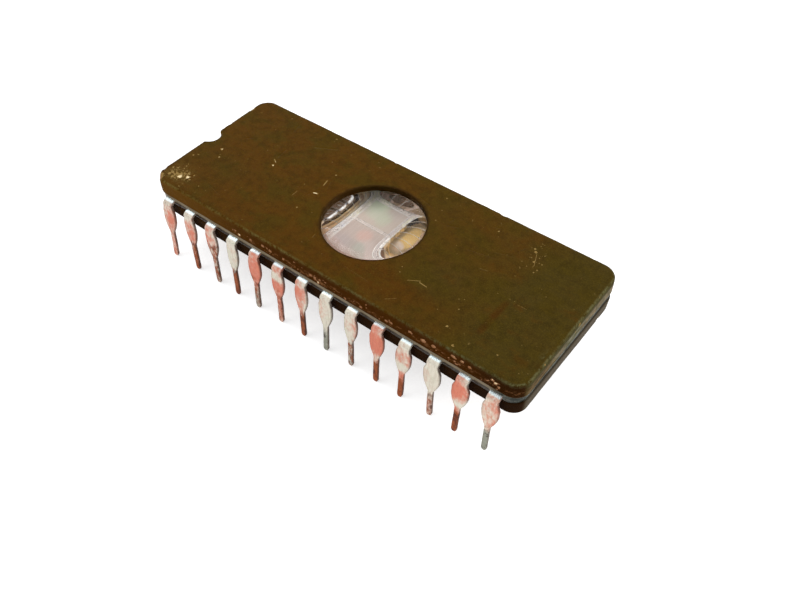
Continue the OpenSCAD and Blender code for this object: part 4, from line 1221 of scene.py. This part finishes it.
# how each lead has aged, roughly as on the front row: how far the cream plating has turned salmon at the
# shoulder, on the blade and on the pin; the depth and strength of a paler band; where rust starts and how
# strong it is; the same for bare grey metal; grey at the shoulder; the turn of the tarnish from the left
# edge to the right one, and the width of the blade
LOOK = [(0.33, 0.66, 0.62, 0, 0, 2.2, 0.20, 0.5, 0.12, 0.35, 0.1, 1.35), (0.22, 0.64, 0.62, 0, 0, 2.1, 0.65, 5.0, 0.15, 0.20, 0.1, 1.24),
        (0.35, 0.48, 0.40, 0, 0, 0.9, 0.50, 3.0, 0.62, 0, -0.3, 1.28), (0, 0.04, 0.22, 0, 0, 2.3, 0.80, 2.0, 0.42, 0.12, 0.0, 1.20),
        (0.58, 1.0, 0.42, 0, 0, 1.5, 0.40, 2.8, 0.65, 0, 0.1, 1.32), (0.60, 1.0, 0.72, 1.1, 0.75, 1.6, 0.42, 3.8, 0.28, 0, 0.1, 1.30),
        (0.35, 0.64, 0.70, 2.8, 0.18, 2.7, 0.95, 5.0, 0, 0, -0.35, 1.26), (0.05, 0.12, 0, 0, 0, 5.0, 0, 2.8, 0.82, 0.12, -0.3, 1.33),
        (0.02, 0.20, 0.13, 0, 0, 2.2, 0.50, 2.4, 0.52, 0, 0.35, 1.27), (0.58, 1.0, 0.50, 3.1, 0.40, 2.9, 0.95, 5.0, 0, 0.1, -0.1, 1.36),
        (0.15, 0.62, 1.0, 2.6, 0.62, 3.1, 0.97, 5.0, 0, 0, 0.0, 1.40), (0.02, 0.15, 0.62, 0, 0, 2.9, 0.42, 2.3, 0.50, 0.05, -0.15, 1.48),
        (0.38, 0.88, 0.92, 2.8, 0.66, 2.9, 1.0, 5.0, 0, 0, -0.3, 1.45), (0.35, 0.56, 0.30, 0, 0, 1.3, 0.12, 2.7, 1.0, 0.1, 0.2, 1.42)]
LOOK += [LOOK[i] for i in (3, 9, 7, 5, 1, 12, 8, 4, 11, 2, 6, 10, 0, 13)]
FACE_U = (0.88, 0.62, 0.32, 0.0, -0.32, -0.62, -0.88)


def aged(s, look):
    """Salmon, rust and grey at the depths s below the strip, for one row of LOOK."""
    top, blade, pin, band, pale, rust_from, rust, grey_from, grey, grey_top = look[:10]
    tarn = np.interp(s, (0.1, 1.2, 2.6, 4.2), (top, blade, blade, pin)) - pale * np.exp(-((s - band) / 0.5) ** 2)
    return (np.clip(tarn, 0, 1), rust * smooth(rust_from, rust_from + 1.6, s),
            grey * smooth(grey_from, grey_from + 1.8, s) + grey_top * (1 - smooth(0.2, 0.9, s)))


def cross(half, t, c):
    """Rounded rectangle section, with further points over its broad faces: (across, up) points and
    which of them lie on the sheared sides."""
    pts, cut = [], []
    w = half - c
    for sx, sz, a0 in ((1, 1, 0), (-1, 1, 90), (-1, -1, 180), (1, -1, 270)):
        for i in range(4):
            a = math.radians(a0 + 30 * i)
            pts.append((sx * w + c * math.cos(a), sz * (t / 2 - c) + c * math.sin(a)))
            cut.append(abs(math.cos(a)))
        if a0 in (0, 180):
            for u in FACE_U:
                pts.append((u * w * sz, sz * t / 2))
                cut.append(0.0)
    return np.array(pts), np.array(cut)


def build_lead(k):
    q = quarter(k)
    fx = -1 if 7 < k <= 21 else 1
    fy = -1 if k > 14 else 1
    look = LOOK[k - 1]
    lean = math.asin(-LEANS[k - 1] / 5.6) * fx
    seed = 3.7 * k
    st = []   # centre, across, up, half width, depth below the shoulder, role
    route = [np.array(p, float) for p in ROUTES[q - 1]]

    def mitre(i):
        def unit(v):
            return v / np.linalg.norm(v)
        perp = lambda v: np.array([-v[1], v[0]])
        a = perp(unit(route[i] - route[i - 1] if i else route[1] - route[0]))
        c = perp(unit(route[i + 1] - route[i] if i < 3 else route[3] - route[2]))
        m = unit(a + c)
        return m, (ROUTE_W[i] / 2) / (m @ a)

    zc = Z_LEAD + LEAD_T / 2
    m3, h3 = mitre(3)
    along = (route[3] - route[2]) / np.linalg.norm(route[3] - route[2])
    # finger tip, slightly rounded over, then back along the route to the wall
    for d, shrink in ((0.0, 0.10), (0.02, 0.045), (0.06, 0.012), (0.12, 0.0), (0.35, 0.0), (0.62, 0.0), (0.75, 0.0), (1.0, 0.0)):
        p = route[3] - along * d
        st.append((np.array([p[0], p[1], zc]), np.array([-m3[0], -m3[1], 0]), np.array([0, 0, 1.0]), h3 - shrink, -9 + d, shrink))
    for i in (2, 1):
        a, b_ = route[i + 1], route[i]
        m, h = mitre(i)
        st.append((np.array([b_[0], b_[1], zc]), np.array([-m[0], -m[1], 0]), np.array([0, 0, 1.0]), h, -5, 0))
    c_bend = ROW_HALF + LEAD_T / 2 - BEND_R
    X = LEAD_X[q - 1]

    def across():
        return np.array([1.0, 0, 0])

    # the shoulder starts to fall as soon as it is out of the glass
    for yy in (6.75, 6.84, 6.90, 6.96, 7.02, 7.08, c_bend - 0.015):
        f = max(0.0, (yy - 6.88) / (c_bend + BEND_R - 6.88))
        st.append((np.array([X, -yy, zc - 0.22 * f ** 1.6]), across(), np.array([0, -0.5 * f, 1.0]) / math.hypot(1, 0.5 * f), ROOT_W / 2, 0.0, 0))
    rot = Matrix.Rotation(lean, 3, "Y")
    R = np.array(rot)
    pivot = np.array([X, 0, Z_STRIP])

    def leaned(p):
        return pivot + R @ (p - pivot)

    for i in range(0, 11):
        a = (math.pi / 2 - SPLAY) * i / 10
        ctr = np.array([X, -(c_bend), Z_STRIP - BEND_R])
        dirn = np.array([0, -math.sin(a), math.cos(a)])
        p = ctr + dirn * (BEND_R - LEAD_T / 2)
        s = Z_STRIP - p[2]
        f = (c_bend + BEND_R * math.sin(a) - 6.88) / (c_bend + BEND_R - 6.88)
        p[2] -= 0.22 * f ** 1.6 * (1 - i / 10)
        turned = np.array([0, -0.5 * f * (1 - i / 10), 0]) + dirn
        dirn = turned / np.linalg.norm(turned)
        g = i / 10
        pl = p * (1 - g) + leaned(p) * g
        st.append((pl, across() * (1 - g) + (R @ across()) * g, dirn, half_width(max(0, s - 0.02), look[11]), s, 0))
    down = np.array([0, -math.sin(SPLAY), -math.cos(SPLAY)])
    out = np.array([0, -math.cos(SPLAY), math.sin(SPLAY)])
    p0 = np.array([X, -c_bend, Z_STRIP - BEND_R]) + out * (BEND_R - LEAD_T / 2)
    s0 = Z_STRIP - p0[2]
    total = Z_STRIP - s0
    depths = np.concatenate([np.linspace(s0 + 0.1, 0.9, 4), np.linspace(1.0, 3.3, 22), np.linspace(3.45, Z_STRIP - 0.3, 12),
                             [Z_STRIP - 0.22, Z_STRIP - 0.12, Z_STRIP - 0.05, Z_STRIP - 0.012]])
    for s in depths:
        p = p0 + down * ((s - s0) / math.cos(SPLAY))
        hw = half_width(s, look[11])
        gap = Z_STRIP - s
        shrink = 0.0
        if gap < 0.25:
            hw -= 0.1 * (1 - gap / 0.25)
        if gap < 0.06:
            shrink = 0.06 * (1 - gap / 0.06)
        st.append((leaned(p), R @ across(), R @ out, hw - shrink * 0.6, s, shrink))
    b = Build()
    rows, vals = [], []
    for c, w, u, h, s, shrink in st:
        t = LEAD_T - 1.5 * min(shrink, 0.07)
        pts, cut = cross(h, t, min(0.055, 0.45 * t))
        # the blade is a little dished and bent, the pin a little twisted
        if s > 0.3:
            bow = 0.035 * math.sin(math.pi * min(1, (s - 0.3) / 3.2)) * math.sin(seed) \
                + 0.02 * math.sin(s * 1.7 + seed)
            ramp = min(1, (s - 0.3) / 0.8)
            dish = -0.03 * ramp * (1 - min(1, abs(s - 1.7) / 1.8)) * (pts[:, 0] / max(h, 1e-6)) ** 2
            twist = 0.05 * ramp * math.sin(1.3 * seed) * min(1, s / 6)
            P3 = c + pts[:, :1] * w + (pts[:, 1:] + dish[:, None] + bow * ramp * 0.6 + twist * pts[:, :1]) * u
        else:
            P3 = c + pts[:, :1] * w + pts[:, 1:] * u
        rows.append(b.add(P3))
        for j in range(len(pts)):
            vals.append((s, cut[j], pts[j][0] / max(h, 1e-6), pts[j][1]))
    b.lofts(rows)
    b.f.append(tuple(int(i) for i in rows[0]))
    b.f.append(tuple(int(i) for i in rows[-1][::-1]))
    V = b.points()
    vals = np.array(vals)
    s = vals[:, 0]
    outer = s > 0.25
    wob = fbm(V, 1.6, seed, 3)
    # uneven plating, a few hundredths of a millimetre, on the part outside the glass
    V = V + 0.0
    amp = np.where(outer, 0.012, 0.0)
    V[:, 0] += amp * fbm(V, 2.2, seed + 3, 2)
    V[:, 1] += amp * fbm(V, 1.9, seed + 8, 2)
    V[:, 2] = np.maximum(V[:, 2], 0.0)
    V[:, 1] = np.maximum(V[:, 1], -CAD_HI[1] * 1000)
    side_w = fbm(V, 0.9, seed, 2)
    tarn, rust, grey = aged(s, look)
    tarn = tarn + look[10] * vals[:, 2] * fx * 0.55 + 0.10 * side_w + 0.08 * wob
    rust = rust + 0.10 * wob * (rust > 0.05)
    # painted shade: a darker outline along both edges of the blades and on the sheared sides
    painted_edge_shade = 0.62 * smooth(0.80, 1.0, np.abs(vals[:, 2])) * (s > 0.3)
    cut = np.where(outer, np.maximum(vals[:, 1] ** 3, painted_edge_shade), 0.6 * vals[:, 1] ** 3)
    cut = cut * (0.8 + 0.2 * np.clip(side_w, -1, 1))
    strip = (1 - smooth(0.126, 0.140 + 0.018 * (fx * fy > 0), s + 0.006 * wob)) * (s > -0.5) * (vals[:, 3] > 0) * (1 - smooth(0.90, 1.0, np.abs(vals[:, 2])))
    clad = (s < -8.93) * smooth(-0.04, 0.10, vals[:, 3]) + (s < -8.2) * smooth(0.80, 1.0, np.abs(vals[:, 2])) * (vals[:, 3] > 0) * 0.2
    clad = np.clip(clad, 0, 1) * (1.0 if abs(route[3][0]) > 3.4 else 0.12)
    bend = smooth(0.128, 0.145, s) * (1 - smooth(0.30, 0.55, s))
    inner = (s < -4) * 1.0
    tarn = np.where(s < -1, 0.15, tarn)
    rust = np.where(s < -1, 0.0, rust)
    grey = np.where(s < -1, 0.0, grey)
    # mirror into place
    V[:, 0] *= fx
    V[:, 1] *= fy
    return make("lead_%02d_finish" % k, V, b.f, MAT_LEAD, ["lead_%02d" % k],
                {"tarn": tarn, "rust": rust, "grey": grey, "cut": cut, "strip": strip, "bend": bend, "clad": clad, "inner": inner}, 50)


# ---------------------------------------------------------------------------
# Lens
# ---------------------------------------------------------------------------


def build_lens():
    """A closed lathe: lower face from the centre outwards, wall, then upper face back to the centre."""
    b = Build()
    r = LENS_R + 0.006
    top = Z_TOP - 0.02
    m, drop = 2.4, 0.5
    prof = [(0.6, Z_LENS), (1.4, Z_LENS), (2.2, Z_LENS), (3.0, Z_LENS), (3.7, Z_LENS), (r - 0.12, Z_LENS), (r - 0.03, Z_LENS + 0.004), (r, Z_LENS + 0.03)]
    prof += [(r, Z_LENS + 0.3), (r, top - drop - 0.02)]
    prof += [(LENS_R - m + m * i / 30, top - drop * (i / 30) ** 4) for i in range(30, -1, -1)]
    prof += [(1.3, top), (0.9, top), (0.5, top)]
    n = 320
    rows = []
    for rr, z in prof:
        C, _ = circle_loop(WX, WY, rr, n)
        rows.append(b.add(xyz(C, z)))
    b.lofts(rows)
    c0 = int(b.add([(WX, WY, Z_LENS)])[0])
    c1 = int(b.add([(WX, WY, top)])[0])
    for i in range(n):
        j = (i + 1) % n
        b.f.append((int(rows[0][j]), int(rows[0][i]), c0))
        b.f.append((int(rows[-1][i]), int(rows[-1][j]), c1))
    return make("lens", b.points(), b.f, MAT_LENS, ["window_lens"], None, 30)


# ---------------------------------------------------------------------------
# Gold floor, die, bond wires
# ---------------------------------------------------------------------------


def die_local(XY):
    d = np.asarray(XY, float) - DIE_C
    c, s = math.cos(DIE_TURN), math.sin(DIE_TURN)
    return np.column_stack([d[:, 0] * c + d[:, 1] * s, -d[:, 0] * s + d[:, 1] * c])


def die_world(xy):
    xy = np.asarray(xy, float).reshape(-1, 2)
    c, s = math.cos(DIE_TURN), math.sin(DIE_TURN)
    return np.column_stack([xy[:, 0] * c - xy[:, 1] * s, xy[:, 0] * s + xy[:, 1] * c]) + DIE_C


def build_gold():
    b = Build()
    P, N = outline(GOLD_LO[0], GOLD_HI[0], GOLD_HI[1], 0.37, 0.1)
    rows = [b.add(xyz(P - N * 0.05, Z_FLOOR + 0.001)), b.add(xyz(P, Z_FLOOR + 0.01)), b.add(xyz(P, Z_DIE - 0.02)), b.add(xyz(P - N * 0.02, Z_DIE - 0.003)), b.add(xyz(P - N * 0.06, Z_DIE))]
    b.lofts(rows)
    fill(b, rows[0], [], Z_FLOOR + 0.001, 0.6, None, 11)
    top = fill(b, rows[-1], [], Z_DIE, 0.09, None, 12)
    V = b.points()
    L = die_local(V[top, :2])
    dx, dy = np.abs(L[:, 0]) - DIE_S[0] / 2, np.abs(L[:, 1]) - DIE_S[1] / 2
    d = np.hypot(np.maximum(dx, 0), np.maximum(dy, 0)) + np.minimum(np.maximum(dx, dy), 0)
    uneven = 1 + 0.5 * fbm(V[top], 1.4, 8.0, 2)
    fillet = 0.16 * np.exp(-np.maximum(d, 0) / (0.07 * np.clip(uneven, 0.4, 1.8)))
    V[top, 2] += np.where(d > -0.05, fillet, 0.0) + 0.012 * fbm(V[top], 1.1, 2.0, 3) * (d > 0)
    attach = np.zeros(len(V))
    attach[top] = 1 - smooth(0.02, 0.22, d + 0.05 * fbm(V[top], 3.0, 1.0, 2))
    return make("gold_floor", V, b.f, MAT_GOLD, ["die_attach_layer"], {"attach": attach})


def slab(b, x0, x1, y0, y1, z0, z1, bev=0.0, frame_fn=die_world):
    """A small block in the die's frame with a bevelled top edge."""
    loops = []
    for inset, z in (((0, z0), (0, z1 - bev), (bev, z1)) if bev else ((0, z0), (0, z1))):
        q = frame_fn([(x0 + inset, y0 + inset), (x1 - inset, y0 + inset), (x1 - inset, y1 - inset), (x0 + inset, y1 - inset)])
        loops.append(b.add(xyz(q, z)))
    b.lofts(loops)
    b.f.append(tuple(int(i) for i in loops[0][::-1]))
    b.f.append(tuple(int(i) for i in loops[-1]))


def build_die():
    hx, hy = DIE_S / 2
    out = []
    # body: sawn sides with a small chipped edge
    b = Build()
    loops = []
    n = 60

    def loop(inset, z, wob=0.0):
        pts = []
        for (ax, ay), (bx, by) in (((-hx, -hy), (hx, -hy)), ((hx, -hy), (hx, hy)), ((hx, hy), (-hx, hy)), ((-hx, hy), (-hx, -hy))):
            for i in range(n):
                t = i / n
                x, y = ax + (bx - ax) * t, ay + (by - ay) * t
                k = abs(fbm([(x, y, z)], 6.0, 3.0, 2)[0]) * wob
                pts.append((max(-hx + inset + k, min(hx - inset - k, x)), max(-hy + inset + k, min(hy - inset - k, y))))
        return b.add(xyz(die_world(pts), z))

    loops = [loop(0.004, Z_DIE), loop(0.0, Z_DIE + 0.02, 0.004), loop(0.0, Z_DIE + 0.2, 0.004), loop(0.0, Z_FACE - 0.05, 0.006), loop(0.008, Z_FACE - 0.012, 0.02), loop(0.03, Z_FACE - 0.008, 0.02)]
    b.lofts(loops)
    b.f.append(tuple(int(i) for i in loops[0][::-1]))
    b.f.append(tuple(int(i) for i in loops[-1]))
    body = make("die_body", b.points(), b.f, MAT_SIDE, ["silicon_die"], None, 30)
    # border plate
    b = Build()
    slab(b, -hx + 0.035, hx - 0.035, -hy + 0.035, hy - 0.035, Z_FACE - 0.010, Z_FACE - 0.004, 0.003)
    make("die_border", b.points(), b.f, MAT_BORDER)
    # two arrays of cells, with the division between them
    b = Build()
    for y0, y1 in ((0.52, 3.06), (-3.24, 0.13)):
        slab(b, -1.60, 1.76, y0, y1, Z_FACE - 0.006, Z_FACE, 0.004)
    make("die_arrays", b.points(), b.f, MAT_CELLS)
    # conductors: frame lines round the arrays, busses on the right and in the division
    b = Build()

    def bar(x0, y0, x1, y1, w, h=0.0035):
        if abs(x1 - x0) > abs(y1 - y0):
            slab(b, x0, x1, y0 - w / 2, y0 + w / 2, Z_FACE - 0.006, Z_FACE - 0.006 + h * 2, 0.002)
        else:
            slab(b, x0 - w / 2, x0 + w / 2, min(y0, y1), max(y0, y1), Z_FACE - 0.006, Z_FACE - 0.006 + h * 2, 0.002)

    for x, w in ((1.80, 0.05), (1.87, 0.02), (1.93, 0.02), (2.00, 0.03), (2.165, 0.07), (-1.65, 0.04), (-1.74, 0.03), (-2.0, 0.03), (-2.12, 0.05)):
        bar(x, -3.4, x, 3.40, w)
    for y, w in ((0.42, 0.035), (0.26, 0.045), (3.12, 0.055), (3.20, 0.03), (3.30, 0.02), (-3.30, 0.03), (-3.37, 0.02)):
        bar(-1.62, y, 1.77, y, w)
    rb = random.Random(8)
    for i in range(60):
        y = rb.uniform(-3.3, 3.2)
        x = rb.choice((rb.uniform(2.04, 2.11), rb.uniform(-1.95, -1.80)))
        bar(x, y, x, y + rb.uniform(0.05, 0.28), 0.022)
    for i in range(44):
        x = rb.uniform(-1.95, 1.9)
        bar(x, 3.34, x, 3.34 + rb.uniform(0.04, 0.10), 0.022)
        x = rb.uniform(-1.95, 1.9)
        bar(x, -3.50, x, -3.50 + rb.uniform(0.04, 0.1), 0.022)
    make("die_conductors", b.points(), b.f, MAT_PAD)
    # bond pads
    b = Build()
    for k in range(1, 29):
        px, py = pad_local(k)
        slab(b, px - 0.055, px + 0.055, py - 0.055, py + 0.055, Z_FACE - 0.006, Z_FACE + 0.0005, 0.002)
    make("die_pads", b.points(), b.f, MAT_PAD)


PADS = [(-1, -0.33), (-1, -1.0), (-1, -1.67), (-1, -2.33), (-1, -3.0), (0, -1.35), (0, -0.5)]


def flips(k):
    return (-1 if 7 < k <= 21 else 1), (-1 if k > 14 else 1)


def pad_local(k):
    q = quarter(k)
    fx, fy = flips(k)
    kind, v = PADS[q - 1]
    if kind == -1:
        return -fx * (DIE_S[0] / 2 - 0.14), fy * v
    return fx * v, -fy * (DIE_S[1] / 2 - 0.14)


def stitch(k):
    q = quarter(k)
    fx, fy = flips(k)
    px, py = ROUTES[q - 1][3]
    return (fx * (px - 0.3), fy * py) if q <= 4 else (fx * px, fy * (py - 0.3))


def build_wires(name, ks):
    b = Build()
    rise, dia = 0.3, 0.033
    for k in ks:
        a = die_world([pad_local(k)])[0]
        c = np.array(stitch(k))
        d = np.linalg.norm(c - a)
        u = (c - a) / d
        side = np.array([-u[1], u[0], 0.0])
        za, zb = Z_FACE + 0.016, Z_STRIP + 0.016
        ch = math.hypot(d, zb - za)
        r = (ch * ch / 4 + rise * rise) / (2 * rise)
        half = math.asin(ch / 2 / r)
        slope = math.atan2(zb - za, d)
        pts = []
        m = 26
        for i in range(m + 1):
            t = half - 2 * half * i / m
            lx, lz = ch / 2 - r * math.sin(t), rise - r + r * math.cos(t)
            h = lx * math.cos(slope) - lz * math.sin(slope)
            z = lx * math.sin(slope) + lz * math.cos(slope)
            pts.append(np.array([a[0] + u[0] * h, a[1] + u[1] * h, za + z]))
        pts = np.array(pts)
        rows = []
        for i, p in enumerate(pts):
            tan = pts[min(i + 1, m)] - pts[max(i - 1, 0)]
            tan = tan / np.linalg.norm(tan)
            up = np.cross(side, tan)
            rad = dia / 2
            flat = 1.0
            if i in (0, m):
                flat, rad = 0.45, rad * 1.15
            elif i in (1, m - 1):
                flat = 0.8
            ring = [p + side * rad / max(flat, .6) * math.cos(2 * math.pi * j / 8) + up * rad * flat * math.sin(2 * math.pi * j / 8) for j in range(8)]
            rows.append(b.add(ring))
        b.lofts(rows)
        b.f.append(tuple(int(i) for i in rows[0][::-1]))
        b.f.append(tuple(int(i) for i in rows[-1]))
        # flattened feet, thinner towards the tail
        for base, z0, s0, s1 in ((a, Z_FACE, -0.07, 0.04), (c, Z_STRIP, -0.04, 0.09)):
            loops = []
            for t, w, h in ((0, 0.018, 0.010), (0.15, 0.028, 0.020), (0.45, 0.031, 0.029), (0.8, 0.028, 0.026), (1, 0.018, 0.015)):
                sx = s0 + (s1 - s0) * t
                o = np.array([base[0] + u[0] * sx, base[1] + u[1] * sx, z0])
                loops.append(b.add([o - side * w, o - side * w * 0.8 + (0, 0, h * 0.8), o + (0, 0, h), o + side * w * 0.8 + (0, 0, h * 0.8), o + side * w]))
            b.lofts(loops)
            b.f.append(tuple(int(i) for i in loops[0][::-1]))
            b.f.append(tuple(int(i) for i in loops[-1]))
    return make(name + "_fine", b.points(), b.f, MAT_WIRE, [name], None, 60)


lid = build_lid()
base = build_base()
bead = build_bead()
for k in range(1, 29):
    build_lead(k)
lens = build_lens()
gold = build_gold()
build_die()
build_wires("bond_wires_notch_end", [1, 2, 3, 4, 25, 26, 27, 28])
build_wires("bond_wires_far_end", [11, 12, 13, 14, 15, 16, 17, 18])
build_wires("bond_wires_front", [5, 6, 7, 8, 9, 10])
build_wires("bond_wires_back", [19, 20, 21, 22, 23, 24])

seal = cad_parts["sealing_glass"]
seal.data.materials.clear()
seal.data.materials.append(MAT_SEAL)

# ---------------------------------------------------------------------------
# Floor, lights, camera
# ---------------------------------------------------------------------------

fl = Nodes("studio_floor")
p = fl.principled(Base_Color=fl.mix(fl.noise(0.02, 2), (0.62, 0.62, 0.62), (0.65, 0.65, 0.65)), Roughness=fl.map(fl.noise(0.05, 2), 0, 1, 0.8, 0.9))
p.inputs["Specular IOR Level"].default_value = 0.0
p.inputs["Emission Color"].default_value = (1, 1, 1, 1)
p.inputs["Emission Strength"].default_value = 0.6
me = bpy.data.meshes.new("floor")
S = 3.0
me.from_pydata([(-S, -S, 0), (S, -S, 0), (S, S, 0), (-S, S, 0)], [], [(0, 1, 2, 3)])
me.materials.append(fl.mat)
floor = bpy.data.objects.new("floor", me)
scene.collection.objects.link(floor)

world = bpy.data.worlds.new("studio")
scene.world = world
world.use_nodes = True
bg = world.node_tree.nodes["Background"]
bg.inputs["Color"].default_value = (0.96, 0.98, 1.0, 1)
bg.inputs["Strength"].default_value = 0.78


def area(name, loc, target, size, power, color=(1, 1, 1)):
    li = bpy.data.lights.new(name, "AREA")
    li.shape = "DISK"
    li.size = size
    li.energy = power
    li.color = color
    ob = bpy.data.objects.new(name, li)
    ob.location = loc
    ob.rotation_mode = "QUATERNION"
    ob.rotation_quaternion = (Vector(loc) - Vector(target)).to_track_quat("Z", "Y")
    scene.collection.objects.link(ob)
    return ob


area("low_right", (0.27, 0.187, 0.148), (0, 0, 0.006), 0.13, 1.0, (1.0, 0.985, 0.96))
area("high_left", (-0.25, -0.18, 0.33), (0, 0, 0.006), 0.40, 0.72, (1.0, 0.99, 0.98))
shoulder = area("over_shoulders", (-0.21, 0.01, 0.37), (0, 0, 0.006), 0.26, 0.13, (0.97, 1.0, 1.0))
shoulder.data.shape = "RECTANGLE"
shoulder.data.size = 0.26
shoulder.data.size_y = 0.07
shoulder.matrix_world = Matrix(((0.87, 0, -0.493, -0.21), (0, 1, 0, 0.01), (0.493, 0, 0.87, 0.37), (0, 0, 0, 1)))

cam = bpy.data.cameras.new("camera")
cam.sensor_width = 36
cam.lens = 36.993
cam.clip_start = 0.001
cam.clip_end = 20
camera = bpy.data.objects.new("camera", cam)
right = Vector((0.789761, 0.613302, -0.011763))
up = Vector((-0.453482, 0.596655, 0.662086))
back = Vector((0.413077, -0.517555, 0.749336))
M = Matrix((right, up, back)).transposed().to_4x4()
M.translation = Vector((0.0316387, -0.0363244, 0.052519))
camera.matrix_world = M
scene.collection.objects.link(camera)
scene.camera = camera
scene.view_settings.view_transform = "Standard"
scene.view_settings.look = "None"
